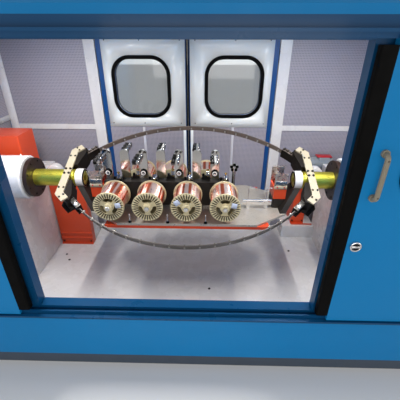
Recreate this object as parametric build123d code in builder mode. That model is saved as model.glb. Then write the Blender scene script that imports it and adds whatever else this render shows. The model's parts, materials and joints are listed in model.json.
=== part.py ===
from build123d import *
import os
from math import cos, radians, sin, sqrt

os.makedirs("parts", exist_ok=True)

# Enclosure. X runs along the machine, Y points away from the operator, Z is up.
# The origin is on the floor, under the middle of the rotor axis.
machine_length = 3300.0
roof_top = 1980.0
roof_thick = 50.0
front_face = -770.0
rear_face = 800.0
wall_thick = 50.0
base_height = 80.0
pan_thick = 20.0
panel_seam = 2.0

# Door openings, equally high in front and behind; the rear one is narrower.
opening_half = 770.0
rear_half = 740.0
opening_bottom = 500.0
opening_top = 1850.0
post_width = 85.0
post_depth = 60.0
sill_height = 40.0

# Sliding front doors, parked beside the opening as they rest.
leaf_width = 735.0
leaf_thick = 40.0
leaf_gap = 10.0
seal_width = 60.0
meeting_gap = 6.0
left_parked = 801.0
right_parked = 773.0
rail_thick = 8.0
rail_engage = 14.0
rail_clear = 0.3
track_clear = 6.0
track_thick = 12.0

# Windows in all four leaves.
window_width = 440.0
window_height = 450.0
window_bottom = 1230.0
window_corner = 130.0
window_from_edge = 170.0
window_lip = 14.0
glass_thick = 6.0

# Bow handles and round locks.
handle_length = 236.0
handle_centre = 1341.0
handle_from_edge = 55.0
handle_reach = 45.0
handle_thick = 22.0
handle_foot = 34.0
lock_centre = 981.0
lock_from_edge = 42.0
lock_radius = 26.0
lock_proud = 10.0

# Hinged rear doors, closed at rest.
rear_gap = 6.0
stile_width = 41.0
liner_thick = 6.0
liner_top = 1121.0
hinge_offset = 14.0
hinge_radius = 9.0
hinge_length = 90.0
hinge_clear = 0.3
hinge_cap = 30.0
pin_radius = 4.0

# White posts and rails on the inside of the rear wall.
rear_post_width = 90.0
rail_centre = 1118.0
rail_width = 44.0
rail_proud = 10.0

# Base frame and its anchor lugs.
beam_width = 120.0
lug_length = 70.0
lug_width = 120.0
lug_thick = 20.0
anchor_radius = 9.0
anchor_inset = 35.0

# Rotor line.
axis_height = 950.0
pedestal_length = 400.0
pedestal_front = 480.0
pedestal_rear = 600.0
pedestal_drop = 110.0
pedestal_edge = 12.0
housing_radius = 155.0
housing_reach = 108.0
housing_edge = 8.0
ear_thick = 20.0
ear_y = 181.0
ear_drop = 48.0
ear_radius = 34.0
ear_hole = 15.0
shaft_radius = 60.0
shaft_bore = 20.0
shaft_inset = 60.0
shaft_step = 806.0
stub_radius = 50.0
stub_end = 742.0
running_clear = 0.05
flange_radius = 140.0
flange_gap = 14.0
flange_thick = 28.0

# Bows, their brackets and clamps. All lie on one plane through the rotor axis, and they turn
# with the cradle between them about a middle that stands right of the enclosure's own.
rotor_middle = 40.0
bow_tilt = 66.0
bow_peak = 556.0
bow_end_x = 705.0
bow_end_r = 285.0
bow_thick = 6.0
bow_width = 38.0
bow_tail = 92.0
bracket_x = 847.0
bracket_width = 50.0
bracket_arm = 200.0
bracket_tip = 70.0
bracket_seat = 58.0
bracket_thick = 12.0
clamp_jaw = 16.0
clamp_half = 34.0
clamp_clear = 1.0
clamp_root_width = 50.0
clamp_root_out = 850.0
clamp_root_low = 72.0

# Cradle that hangs inside the bows.
plate_drop = 190.0
plate_thick = 15.0
plate_half = 303.0
plate_straight = 460.0
plate_end_x = 680.0
plate_end_y = 150.0
frame_end = 545.0
frame_high = 20.0
frame_bar = 60.0
hub_radius = 65.0
hub_near = 742.0
hub_length = 50.0
end_foot = 40.0
end_top_half = 55.0
end_top_drop = 40.0
end_top_inset = 3.0

# Bobbins and the beam that holds their spindles.
bobbin_pitch = 250.0
front_first = -500.0
rear_first = -375.0
front_count = 4
rear_count = 3
bobbin_drop = 70.0
bobbin_radius = 100.0
bobbin_length = 200.0
bobbin_near = 100.0
flange_wall = 12.0
barrel_radius = 68.0
barrel_wall = 6.0
hub_tube = 24.0
spool_bore = 15.0
rim_depth = 5.0
rim_width = 10.0
kidney_radius = 46.0
kidney_half = 12.0
kidney_spoke = 34.0
kidney_corner = 9.0
kidney_count = 3
winding_radius = 91.0
beam_half = 45.0
beam_wall = 10.0
beam_drop = 8.0
beam_left = -596.0
beam_right = 285.0
collar_radius = 24.0
collar_long = 14.0
collar_clear = 3.0

# Tension units, one for each bobbin, and the guide post.
unit_shift = -65.0
unit_width = 62.0
unit_thick = 20.0
unit_top = 214.0
unit_corner = 28.0
wheel_bar = 14.0
wheel_radius = 17.0
wheel_thick = 9.0
wheel_rise = 190.0
wheel_first = 70.0
wheel_pitch = 50.0
wheel_count = 3
axle_radius = 4.0
fin_shift = 22.0
fin_thick = 5.0
fin_high = 40.0
pulley_radius = 21.0
pulley_thick = 14.0
pulley_rise = 50.0
guide_x = 320.0
guide_top = 92.0
guide_radius = 11.0
guide_wheels = 5
guide_ring = 20.0
guide_wheel = 11.0
guide_thick = 16.0
guide_hole = 6.0

# Rods, end brackets and rollers at the ends of the cradle.
rod_from = 385.0
rod_to = 590.0
rod_y = -70.0
rod_rise = 62.0
rod_radius = 7.0
bar_high = 22.0
bar_thick = 16.0
hook_radius = 3.5
hook_rise = 95.0
hook_reach = 40.0
bracket_box_from = 600.0
bracket_box_to = 686.0
bracket_box_half = 70.0
bracket_box_top = -36.0
bracket_box_bottom = -117.0
bracket_box_wall = 12.0
roller_radius = 13.0
roller_gap = 14.0
roller_plate = 8.0
roller_top = 73.0

# Guards, covers and the gear motor behind the rotor line.
guard_y_from = 210.0
guard_y_to = 440.0
guard_top = 1184.0
guard_edge = 10.0
guard_inset = 45.0
left_column_x = -1040.0
left_column_width = 296.0
left_column_face = 372.0
left_column_depth = 60.0
left_duct_depth = 160.0
right_column_x = 1050.0
right_column_width = 122.0
right_column_face = 574.0
column_top = 750.0
column_flange = 16.0
flange_plate = 8.0
column_slope = 20.0
cover_radius = 64.0
cover_front = 386.0
cover_rise = 70.0
cover_dome = 20.0
cover_depth = 60.0
left_cover_x = -1124.0
right_cover_x = 1075.0
arm_half = 25.0
ledge_height = 129.0
ledge_face = 519.0
ledge_from = 900.0
motor_rise = 62.0
motor_radius = 54.0
motor_flange = 60.0
motor_plate = 14.0
motor_length = 205.0
motor_box = 90.0
motor_lid = 12.0
motor_edge = 6.0
gearbox_depth = 100.0

half_length = machine_length / 2
wall_inner = half_length - wall_thick
roof_under = roof_top - roof_thick
pan_top = base_height + pan_thick
frame_outer = opening_half + post_width
liner_face = rear_face - wall_thick
pedestal_face = wall_inner - pedestal_length
housing_end = pedestal_face - housing_reach
flange_near = housing_end - flange_gap - flange_thick


def save(piece, label, shift=0.0):
    # A piece that turns with the rotor or hangs in it is modelled about X = 0 and then shifted.
    part = piece.part.moved(Location((shift, 0, 0)))
    part.label = label
    export_step(part, f"parts/{label}.step")


def upright(y):
    # Vertical plane across the machine; a negative extrusion runs towards +Y.
    return Plane.XZ.offset(-y)


def middle(low, high):
    return (low + high) / 2


# Base frame: a ring of deep beams with a cross member, and four anchor lugs at the ends.
frame_middle = middle(front_face, rear_face)
frame_depth = rear_face - front_face
lug_y = frame_depth / 2 - lug_width / 2
with BuildPart() as base_frame:
    with BuildSketch(Plane.XY):
        with Locations((0, frame_middle)):
            Rectangle(machine_length, frame_depth)
            bay = (machine_length - 3 * beam_width) / 2
            with GridLocations(bay + beam_width, 0, 2, 1):
                Rectangle(bay, frame_depth - 2 * beam_width, mode=Mode.SUBTRACT)
    extrude(amount=base_height)
    with BuildSketch(Plane.XY):
        with Locations((0, frame_middle)):
            with GridLocations(machine_length + lug_length, 2 * lug_y, 2, 2):
                Rectangle(lug_length, lug_width)
    extrude(amount=lug_thick)
    anchor_x = half_length + anchor_inset
    with Locations((0, frame_middle, lug_thick)):
        with GridLocations(2 * anchor_x, 2 * lug_y, 2, 2):
            Hole(anchor_radius, lug_thick)
save(base_frame, "base_frame")

# Floor pan with the raised ledge that the right column guard stands on.
pan_front = front_face + wall_thick
pan_back = liner_face - rail_proud
with BuildPart() as floor_pan:
    with BuildSketch(Plane.XY.offset(base_height)):
        with Locations((0, middle(pan_front, pan_back))):
            Rectangle(2 * wall_inner, pan_back - pan_front)
    extrude(amount=pan_thick)
    with BuildSketch(Plane.XY.offset(pan_top)):
        with Locations((middle(ledge_from, pedestal_face), middle(ledge_face, pan_back))):
            Rectangle(pedestal_face - ledge_from, pan_back - ledge_face)
    extrude(amount=ledge_height)
save(floor_pan, "floor_pan")

# Bearing pedestals: welded boxes with a round saddle under each housing.
pedestal_top = axis_height - pedestal_drop
with BuildPart() as end_pedestals:
    for side in (-1, 1):
        with BuildSketch(Plane.XY.offset(pan_top)):
            with Locations((side * middle(pedestal_face, wall_inner), middle(-pedestal_front, pedestal_rear))):
                RectangleRounded(pedestal_length, pedestal_front + pedestal_rear, pedestal_edge)
        extrude(amount=pedestal_top - pan_top)
    with BuildSketch(Plane.YZ.offset(-wall_inner)):
        with Locations((0, axis_height)):
            Circle(housing_radius)
    extrude(amount=2 * wall_inner, mode=Mode.SUBTRACT)
save(end_pedestals, "end_pedestals")

# Bearing housings: turned drums with an eared flange against the pedestal.
with BuildPart() as bearing_housings:
    for side in (-1, 1):
        with BuildSketch(Plane.XZ):
            with BuildLine():
                Polyline(
                    (side * housing_end, axis_height + shaft_radius + running_clear),
                    (side * housing_end, axis_height + housing_radius - housing_edge),
                    (side * (housing_end + housing_edge), axis_height + housing_radius),
                    (side * wall_inner, axis_height + housing_radius),
                    (side * wall_inner, axis_height),
                    (side * (wall_inner - wall_thick), axis_height),
                    (side * (wall_inner - wall_thick), axis_height + shaft_radius + running_clear),
                    close=True,
                )
            make_face()
        revolve(axis=Axis((0, 0, axis_height), (1, 0, 0)))
        with BuildSketch(Plane.YZ.offset(side * (pedestal_face - ear_thick / 2) - ear_thick / 2)):
            for ear_side in (-1, 1):
                with Locations((ear_side * ear_y, axis_height - ear_drop)):
                    Circle(ear_radius)
                with Locations((ear_side * (ear_y - ear_radius), axis_height - ear_drop)):
                    Rectangle(2 * ear_radius, 2 * ear_radius)
                with Locations((ear_side * ear_y, axis_height - ear_drop)):
                    Circle(ear_hole, mode=Mode.SUBTRACT)
            with Locations((0, axis_height)):
                Circle(housing_radius - housing_edge, mode=Mode.SUBTRACT)
        extrude(amount=ear_thick)
save(bearing_housings, "bearing_housings")

# Belt guards: the tall box behind the left housing and a column at each end.
columns = (
    (left_column_x, left_column_width, left_column_face, left_column_face + left_column_depth, pan_top),
    (right_column_x, right_column_width, right_column_face, pan_back, pan_top + ledge_height),
)
with BuildPart() as belt_guards:
    guard_length = pedestal_length - guard_inset
    with BuildSketch(Plane.XY.offset(pedestal_top)):
        with Locations((guard_length / 2 - wall_inner, middle(guard_y_from, guard_y_to))):
            RectangleRounded(guard_length, guard_y_to - guard_y_from, guard_edge)
    extrude(amount=guard_top - pedestal_top)
    for column_x, column_width, face, back, column_floor in columns:
        with BuildSketch(Plane.YZ.offset(column_x - column_width / 2)):
            with BuildLine():
                Polyline(
                    (face - column_flange, column_floor),
                    (face - column_flange, column_floor + flange_plate),
                    (face, column_floor + flange_plate),
                    (face, column_top - column_slope),
                    (face + column_slope, column_top),
                    (back, column_top),
                    (back, column_floor),
                    close=True,
                )
            make_face()
        extrude(amount=column_width)
save(belt_guards, "belt_guards")

# White round covers on an arm over both columns, and the white duct behind the left column.
cover_z = column_top + cover_rise
cover_back = cover_front + cover_depth
cover_places = ((left_cover_x, left_column_face), (right_cover_x, right_column_face))
with BuildPart() as round_covers:
    for cover_x, column_front in cover_places:
        with BuildSketch(Plane.XY.offset(cover_z)):
            with BuildLine():
                Polyline(
                    (cover_x, cover_front),
                    (cover_x, cover_back),
                    (cover_x + cover_radius, cover_back),
                    (cover_x + cover_radius, cover_front + cover_dome),
                )
                Spline(
                    (cover_x + cover_radius, cover_front + cover_dome),
                    (cover_x, cover_front),
                    tangents=[(0, -1), (-1, 0)],
                )
            make_face()
        revolve(axis=Axis((cover_x, 0, cover_z), (0, 1, 0)))
        arm_back = max(cover_back, column_front) + left_column_depth
        with BuildSketch(Plane.XY.offset(column_top)):
            with Locations((cover_x, middle(cover_front + cover_dome, arm_back))):
                Rectangle(2 * arm_half, arm_back - cover_front - cover_dome)
        extrude(amount=cover_rise)
    duct_front = left_column_face + left_column_depth
    with BuildSketch(Plane.XY.offset(pan_top)):
        with Locations((left_column_x, duct_front + left_duct_depth / 2)):
            Rectangle(left_column_width - 2 * flange_plate, left_duct_depth)
    extrude(amount=column_top - pan_top)
save(round_covers, "round_covers")

# Gear motor: a gearbox on the right column, with a flange, a drum and a flat box at its outer side.
motor_y = pan_back - gearbox_depth / 2 - panel_seam
motor_z = column_top + motor_rise
motor_from = right_column_x + right_column_width / 2
with BuildPart() as gear_motor:
    with BuildSketch(Plane.XY.offset(column_top)):
        with Locations((right_column_x, motor_y)):
            RectangleRounded(right_column_width, gearbox_depth, motor_edge)
    extrude(amount=motor_rise + motor_flange)
    chamfer(gear_motor.edges().group_by(Axis.Z)[-1], motor_edge / 2)
    with BuildSketch(Plane.YZ.offset(motor_from - motor_plate)):
        with Locations((motor_y, motor_z)):
            Circle(motor_flange - motor_edge)
    extrude(amount=2 * motor_plate)
    with BuildSketch(Plane.YZ.offset(motor_from)):
        with Locations((motor_y, motor_z)):
            Circle(motor_radius)
    extrude(amount=motor_length)
    chamfer(gear_motor.edges().group_by(Axis.X)[-1], motor_edge)
    with BuildSketch(Plane.XY.offset(motor_z)):
        with Locations((motor_from + motor_plate + motor_length / 2, motor_y)):
            RectangleRounded(motor_box, motor_box, motor_edge)
    extrude(amount=motor_radius + motor_lid)
save(gear_motor, "gear_motor")

# Front frame: the dark ring of posts, header and sill round the opening.
with BuildPart() as front_frame:
    with BuildSketch(upright(front_face)):
        with Locations((0, middle(opening_bottom - sill_height, roof_under))):
            Rectangle(2 * frame_outer, roof_under - opening_bottom + sill_height)
        with Locations((0, middle(opening_bottom, opening_top))):
            Rectangle(2 * opening_half, opening_top - opening_bottom, mode=Mode.SUBTRACT)
    extrude(amount=-post_depth)
save(front_frame, "front_frame")

# Fixed front panels: one below the opening and one at each side of it.
side_width = half_length - frame_outer - panel_seam
with BuildPart() as front_panels:
    with BuildSketch(upright(front_face)):
        with Locations((0, middle(base_height, opening_bottom - sill_height))):
            Rectangle(machine_length, opening_bottom - sill_height - base_height)
        with Locations((0, middle(opening_bottom - sill_height + panel_seam, roof_under))):
            with GridLocations(2 * half_length - side_width, 0, 2, 1):
                Rectangle(side_width, roof_under - opening_bottom + sill_height - panel_seam)
    extrude(amount=-wall_thick)
save(front_panels, "front_panels")

# Rear frame: white posts, header and low wall round the rear doors, with a rail at each side.
door_half = rear_half + rear_gap
rear_outer = door_half + rear_post_width
hinge_x = rear_half + rear_gap / 2
hinge_y = rear_face + hinge_offset
hinge_zs = (opening_bottom + hinge_length, opening_top - 2 * hinge_length)
with BuildPart() as rear_frame:
    with BuildSketch(upright(pan_back)):
        with Locations((0, middle(base_height, roof_under))):
            Rectangle(2 * rear_outer, roof_under - base_height)
        with Locations((0, middle(opening_bottom - rear_gap, opening_top + rear_gap))):
            door_hole = opening_top - opening_bottom + 2 * rear_gap
            Rectangle(2 * door_half, door_hole, mode=Mode.SUBTRACT)
    extrude(amount=-(rear_face - pan_back))
    with BuildSketch(upright(pan_back)):
        rail_span = wall_inner - liner_thick - rear_outer
        with Locations((0, rail_centre)):
            with GridLocations(2 * rear_outer + rail_span, 0, 2, 1):
                Rectangle(rail_span, rail_width)
    extrude(amount=-rail_proud)
    for side in (-1, 1):
        for hinge_z in hinge_zs:
            for cap_z in (hinge_z - hinge_clear - hinge_cap, hinge_z + hinge_length + hinge_clear):
                with BuildSketch(Plane.XY.offset(cap_z)):
                    with Locations((side * hinge_x, hinge_y)):
                        Circle(hinge_radius)
                    cap_out = hinge_y + hinge_radius
                    with Locations((side * (hinge_x + hinge_radius), middle(rear_face, cap_out))):
                        Rectangle(2 * hinge_radius, cap_out - rear_face)
                extrude(amount=hinge_cap)
            with BuildSketch(Plane.XY.offset(hinge_z - hinge_clear)):
                with Locations((side * hinge_x, hinge_y)):
                    Circle(pin_radius)
            extrude(amount=hinge_length + 2 * hinge_clear)
save(rear_frame, "rear_frame")

# Rear panels: one slab at each side of the rear frame.
rear_side = half_length - rear_outer
with BuildPart() as rear_panels:
    with BuildSketch(upright(liner_face + liner_thick)):
        with Locations((0, middle(base_height, roof_under))):
            with GridLocations(2 * rear_outer + rear_side, 0, 2, 1):
                Rectangle(rear_side, roof_under - base_height)
    extrude(amount=-(wall_thick - liner_thick))
save(rear_panels, "rear_panels")

# End walls of the enclosure.
with BuildPart() as end_walls:
    for side in (-1, 1):
        with BuildSketch(Plane.XY.offset(base_height)):
            with Locations((side * (half_length - wall_thick / 2), middle(pan_front, liner_face))):
                Rectangle(wall_thick, liner_face - pan_front)
        extrude(amount=roof_under - base_height)
save(end_walls, "end_walls")

# Roof: a shallow tray lid with bevelled upper edges.
with BuildPart() as roof:
    with BuildSketch(Plane.XY.offset(roof_under)):
        with Locations((0, frame_middle)):
            Rectangle(machine_length, frame_depth)
    extrude(amount=roof_thick)
    chamfer(roof.faces().sort_by(Axis.Z)[-1].edges(), roof_thick / 3)
save(roof, "roof")

# Perforated liners: beside the rear doors and on both end walls.
with BuildPart() as inner_liners:
    with BuildSketch(upright(liner_face)):
        liner_span = wall_inner - rear_outer
        with Locations((0, middle(base_height, roof_under))):
            with GridLocations(2 * rear_outer + liner_span, 0, 2, 1):
                Rectangle(liner_span, roof_under - base_height)
    extrude(amount=-liner_thick)
    for side in (-1, 1):
        with BuildSketch(Plane.XY.offset(guard_top)):
            with Locations((side * (wall_inner - liner_thick / 2), middle(pan_front, liner_face))):
                Rectangle(liner_thick, liner_face - pan_front - 2 * rail_proud)
        extrude(amount=roof_under - guard_top)
save(inner_liners, "inner_liners")

# Door tracks: a shelf below and a hood above, each with a rib in the leaves' grooves.
leaf_back = front_face - leaf_gap
leaf_front = leaf_back - leaf_thick
leaf_bottom = opening_bottom - sill_height / 2
leaf_top = opening_top + sill_height / 2
rail_y = middle(leaf_back, leaf_front)
track_depth = front_face - leaf_front + leaf_gap
with BuildPart() as door_tracks:
    for edge_z, out in ((leaf_bottom, -1), (leaf_top, 1)):
        shelf_near = edge_z + out * track_clear
        shelf_far = shelf_near + out * track_thick
        rib_tip = edge_z - out * rail_engage
        with BuildSketch(Plane.YZ.offset(-half_length)):
            with BuildLine():
                Polyline(
                    (front_face, shelf_far),
                    (front_face - track_depth, shelf_far),
                    (front_face - track_depth, shelf_near),
                    (rail_y - rail_thick / 2, shelf_near),
                    (rail_y - rail_thick / 2, rib_tip),
                    (rail_y + rail_thick / 2, rib_tip),
                    (rail_y + rail_thick / 2, shelf_near),
                    (front_face, shelf_near),
                    close=True,
                )
            make_face()
        extrude(amount=machine_length)
save(door_tracks, "door_tracks")


def window_outline(centre_x, grow, mode=Mode.ADD):
    # Rounded window, larger by grow on every side.
    with Locations((centre_x, window_bottom + window_height / 2)):
        RectangleRounded(window_width + 2 * grow, window_height + 2 * grow, window_corner + grow, mode=mode)


def bow_handle(edge_x, side, face_y, out, locked):
    # Round bar on two feet, standing off the face towards out, with a round lock below if locked.
    low = handle_centre - handle_length / 2 + handle_foot / 2
    high = handle_centre + handle_length / 2 - handle_foot / 2
    centre_x = edge_x + side * handle_from_edge
    bar_y = face_y + out * (handle_reach - handle_thick / 2)
    with BuildPart() as handle:
        with BuildLine():
            FilletPolyline(
                (centre_x, face_y, low),
                (centre_x, bar_y, low),
                (centre_x, bar_y, high),
                (centre_x, face_y, high),
                radius=handle_thick,
            )
        with BuildSketch(Plane((centre_x, face_y, low), z_dir=(0, out, 0))):
            Circle(handle_thick / 2)
        sweep()
        for foot_z in (low, high):
            with BuildSketch(Plane((centre_x, face_y, foot_z), z_dir=(0, out, 0))):
                Circle(handle_foot / 2)
            extrude(amount=handle_thick / 2)
        if locked:
            lock_x = edge_x + side * lock_from_edge
            with BuildSketch(Plane((lock_x, face_y, lock_centre), z_dir=(0, out, 0))):
                Circle(lock_radius)
            extrude(amount=lock_proud)
    return handle


# Sliding doors: a leaf with its window, a rubber edge and a bow handle with a lock.
for side, name, seal_edge in ((-1, "left_door", left_parked), (1, "right_door", right_parked)):
    leaf_edge = seal_edge + seal_width
    leaf_x = side * (leaf_edge + leaf_width / 2)
    pane_x = side * (leaf_edge + window_from_edge + window_width / 2)
    with BuildPart() as leaf:
        with BuildSketch(upright(leaf_front)):
            with Locations((leaf_x, middle(leaf_bottom, leaf_top))):
                Rectangle(leaf_width, leaf_top - leaf_bottom)
            window_outline(pane_x, 0, Mode.SUBTRACT)
        extrude(amount=-leaf_thick)
        with BuildSketch(upright(leaf_front + leaf_thick / 2 - glass_thick / 2)):
            window_outline(pane_x, window_lip)
        extrude(amount=-glass_thick, mode=Mode.SUBTRACT)
        groove = rail_thick + 2 * rail_clear
        groove_deep = rail_engage + rail_clear
        for groove_z in (leaf_bottom, leaf_top - groove_deep):
            with BuildSketch(Plane.XY.offset(groove_z)):
                with Locations((leaf_x, rail_y)):
                    Rectangle(leaf_width, groove)
            extrude(amount=groove_deep, mode=Mode.SUBTRACT)
    save(leaf, f"{name}_leaf")
    with BuildPart() as pane:
        with BuildSketch(upright(leaf_front + leaf_thick / 2 - glass_thick / 2)):
            window_outline(pane_x, window_lip)
        extrude(amount=-glass_thick)
    save(pane, f"{name}_window")
    seal_low = leaf_bottom + rail_engage + 2 * leaf_gap
    seal_high = leaf_top - rail_engage - 2 * leaf_gap
    with BuildPart() as seal:
        with BuildSketch(Plane.XY.offset(seal_low)):
            with Locations((side * (leaf_edge - seal_width / 2), rail_y)):
                RectangleRounded(seal_width, leaf_thick, leaf_thick / 4)
            with Locations((side * (leaf_edge - seal_width / 4), rail_y)):
                Rectangle(seal_width / 2, leaf_thick)
        extrude(amount=seal_high - seal_low)
    save(seal, f"{name}_seal")
    save(bow_handle(side * leaf_edge, side, leaf_front, -1, True), f"{name}_handle")

# Rear doors: hinged leaves with windows, a perforated inner liner and hinge knuckles.
rear_leaf_out = rear_face - leaf_gap
rear_leaf_in = rear_leaf_out - leaf_thick
rear_liner_in = rear_leaf_in - liner_thick
for side, name in ((-1, "rear_left"), (1, "rear_right")):
    leaf_x = side * middle(meeting_gap / 2, rear_half)
    rear_width = rear_half - meeting_gap / 2
    pane_x = side * (window_from_edge + window_width / 2)
    grip = bow_handle(side * meeting_gap / 2, side, rear_leaf_out, 1, False)
    with BuildPart() as leaf:
        with BuildSketch(upright(rear_leaf_in)):
            with Locations((leaf_x, middle(opening_bottom, opening_top))):
                Rectangle(rear_width, opening_top - opening_bottom)
            window_outline(pane_x, 0, Mode.SUBTRACT)
        extrude(amount=-leaf_thick)
        with BuildSketch(upright(rear_leaf_in + leaf_thick / 2 - glass_thick / 2)):
            window_outline(pane_x, window_lip)
        extrude(amount=-glass_thick, mode=Mode.SUBTRACT)
        for hinge_z in hinge_zs:
            with BuildSketch(Plane.XY.offset(hinge_z)):
                with Locations((side * hinge_x, hinge_y)):
                    Circle(hinge_radius)
                knuckle_out = hinge_y + hinge_radius
                with Locations((side * (rear_half - hinge_radius), middle(rear_leaf_out, knuckle_out))):
                    Rectangle(2 * hinge_radius, knuckle_out - rear_leaf_out)
                with Locations((side * hinge_x, hinge_y)):
                    Circle(pin_radius + running_clear, mode=Mode.SUBTRACT)
            extrude(amount=hinge_length)
        add(grip.part)
    save(leaf, f"{name}_leaf")
    with BuildPart() as pane:
        with BuildSketch(upright(rear_leaf_in + leaf_thick / 2 - glass_thick / 2)):
            window_outline(pane_x, window_lip)
        extrude(amount=-glass_thick)
    save(pane, f"{name}_window")
    with BuildPart() as liner:
        with BuildSketch(upright(rear_liner_in)):
            with Locations((leaf_x, middle(opening_bottom, liner_top))):
                Rectangle(rear_width - 2 * stile_width, liner_top - opening_bottom)
        extrude(amount=-liner_thick)
    save(liner, f"{name}_liner")

# Rotor: hollow shafts with a turned-down stub that carries the cradle, and flats for the brackets.
rotor_axis = Axis((0, 0, axis_height), (1, 0, 0))
tilt = radians(bow_tilt)
bow_plane = Plane(origin=(0, 0, axis_height), x_dir=(1, 0, 0), z_dir=(0, -cos(tilt), sin(tilt)))
with BuildPart() as rotor_shafts:
    for side in (-1, 1):
        with BuildSketch(Plane.XZ):
            with BuildLine():
                Polyline(
                    (rotor_middle + side * stub_end, axis_height + shaft_bore),
                    (rotor_middle + side * stub_end, axis_height + stub_radius),
                    (rotor_middle + side * shaft_step, axis_height + stub_radius),
                    (rotor_middle + side * shaft_step, axis_height + shaft_radius),
                    (side * (wall_inner - shaft_inset), axis_height + shaft_radius),
                    (side * (wall_inner - shaft_inset), axis_height + shaft_bore),
                    close=True,
                )
            make_face()
        revolve(axis=rotor_axis)
    for seat in (-1, 1):
        with BuildSketch(bow_plane.offset(seat * bracket_seat)):
            with Locations((rotor_middle - bracket_x, 0), (rotor_middle + bracket_x, 0)):
                Rectangle(bracket_width, 2 * shaft_radius)
        extrude(amount=seat * shaft_radius, mode=Mode.SUBTRACT)
save(rotor_shafts, "rotor_shafts")

# Round flanges on the shafts, close to the bearing housings.
with BuildPart() as rotor_flanges:
    for side in (-1, 1):
        with BuildSketch(Plane.YZ.offset(side * (flange_near + flange_thick / 2) - flange_thick / 2)):
            with Locations((0, axis_height)):
                Circle(flange_radius)
                Circle(shaft_radius, mode=Mode.SUBTRACT)
        extrude(amount=flange_thick)
save(rotor_flanges, "rotor_flanges")


def mirrored(points, side, half):
    # Points of the first quadrant of the bow plane carried to another quadrant.
    return [(side * x, half * r) for x, r in points]


# Bow brackets: a flat bar on top of each shaft, its ends cranked inwards by 45 degrees.
half_root = sqrt(0.5)
crank = bracket_tip * half_root
bar_half = bracket_width / 2
mitre = bar_half * (sqrt(2) - 1)
bar_edge = [
    (bracket_x - bar_half, bracket_arm - mitre),
    (bracket_x - crank - half_root * bar_half, bracket_arm + crank - half_root * bar_half),
    (bracket_x - crank + half_root * bar_half, bracket_arm + crank + half_root * bar_half),
    (bracket_x + bar_half, bracket_arm + mitre),
]
bars = [mirrored(bar_edge, side, 1) + mirrored(bar_edge, side, -1)[::-1] for side in (-1, 1)]
with BuildPart() as bow_brackets:
    with BuildSketch(bow_plane.offset(bracket_seat)):
        for bar in bars:
            with BuildLine():
                Polyline(*bar, close=True)
            make_face()
    extrude(amount=bracket_thick)
save(bow_brackets, "bow_brackets", rotor_middle)


def along_bow(distance, height):
    # Point on the straight tail of the bow: distance from the arc's end, height above its middle line.
    return (bow_end_x + half_root * (distance + height), bow_end_r + half_root * (height - distance))


# Bow clamps: a root block under the bracket, a channel that holds the end of the bow, and a
# counter bar of the bracket's outline that joins both clamps below the shaft.
jaw = bow_thick / 2 + clamp_jaw
finger_long = bow_tail + clamp_jaw
tip_sum = bracket_x + bracket_arm
finger = [
    along_bow(0, jaw),
    along_bow(finger_long, jaw),
    along_bow(finger_long, -jaw),
    along_bow(0, -jaw),
]
root = [
    (clamp_root_out - clamp_root_width, clamp_root_low),
    (clamp_root_out, clamp_root_low),
    (clamp_root_out, tip_sum - clamp_root_out),
    (bracket_x - crank, bracket_arm + crank),
    along_bow(bow_tail - clamp_jaw, jaw),
    along_bow(finger_long, -jaw),
]
slot = [
    along_bow(-bow_thick, -bow_thick / 2),
    along_bow(bow_tail, -bow_thick / 2),
    along_bow(bow_tail, 2 * jaw),
    along_bow(-bow_thick, 2 * jaw),
]
clamp_layers = (
    (finger, clamp_half, Mode.ADD),
    (root, bracket_seat, Mode.ADD),
    (slot, bow_width / 2 + clamp_clear, Mode.SUBTRACT),
)
with BuildPart() as bow_clamps:
    for outline, half_width, layer_mode in clamp_layers:
        for side in (-1, 1):
            for half in (-1, 1):
                with BuildSketch(bow_plane):
                    with BuildLine():
                        Polyline(*mirrored(outline, side, half), close=True)
                    make_face()
                extrude(amount=half_width, both=True, mode=layer_mode)
    with BuildSketch(bow_plane.offset(-bracket_seat)):
        for bar in bars:
            with BuildLine():
                Polyline(*bar, close=True)
            make_face()
    extrude(amount=-bracket_thick)
save(bow_clamps, "bow_clamps", rotor_middle)

# Bows: one flat strip behind and one in front, a long arc with straight tails in the clamps.
for half, name in ((1, "back_bow"), (-1, "front_bow")):
    with BuildPart() as bow:
        with BuildSketch(bow_plane):
            with BuildLine():
                for height in (-bow_thick / 2, bow_thick / 2):
                    arc_left, arc_right = mirrored([along_bow(0, height)] * 2, 1, half)
                    arc_left = (-arc_left[0], arc_left[1])
                    ThreePointArc(arc_left, (0, half * (bow_peak + height)), arc_right)
                for side in (-1, 1):
                    low, high = -bow_thick / 2, bow_thick / 2
                    tail = [
                        along_bow(0, low),
                        along_bow(bow_tail, low),
                        along_bow(bow_tail, high),
                        along_bow(0, high),
                    ]
                    Polyline(*mirrored(tail, side, half))
            make_face()
        extrude(amount=bow_width / 2, both=True)
    save(bow, name, rotor_middle)

# Cradle plate: a long hexagon like the plan of a boat.
plate_top = axis_height - plate_drop
with BuildPart() as cradle_plate:
    with BuildSketch(Plane.XY.offset(plate_top - plate_thick)):
        with BuildLine():
            Polyline(
                (-plate_end_x, -plate_end_y),
                (-plate_straight, -plate_half),
                (plate_straight, -plate_half),
                (plate_end_x, -plate_end_y),
                (plate_end_x, plate_end_y),
                (plate_straight, plate_half),
                (-plate_straight, plate_half),
                (-plate_end_x, plate_end_y),
                close=True,
            )
        make_face()
    extrude(amount=plate_thick)
save(cradle_plate, "cradle_plate", rotor_middle)

# Cradle frame: a flat bar ring under the plate, square at its ends.
with BuildPart() as cradle_frame:
    with BuildSketch(Plane.XY.offset(plate_top - plate_thick - frame_high)):
        Rectangle(2 * frame_end, 2 * plate_half)
        Rectangle(2 * (frame_end - frame_bar), 2 * (plate_half - frame_bar), mode=Mode.SUBTRACT)
    extrude(amount=frame_high)
save(cradle_frame, "cradle_frame", rotor_middle)

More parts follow.
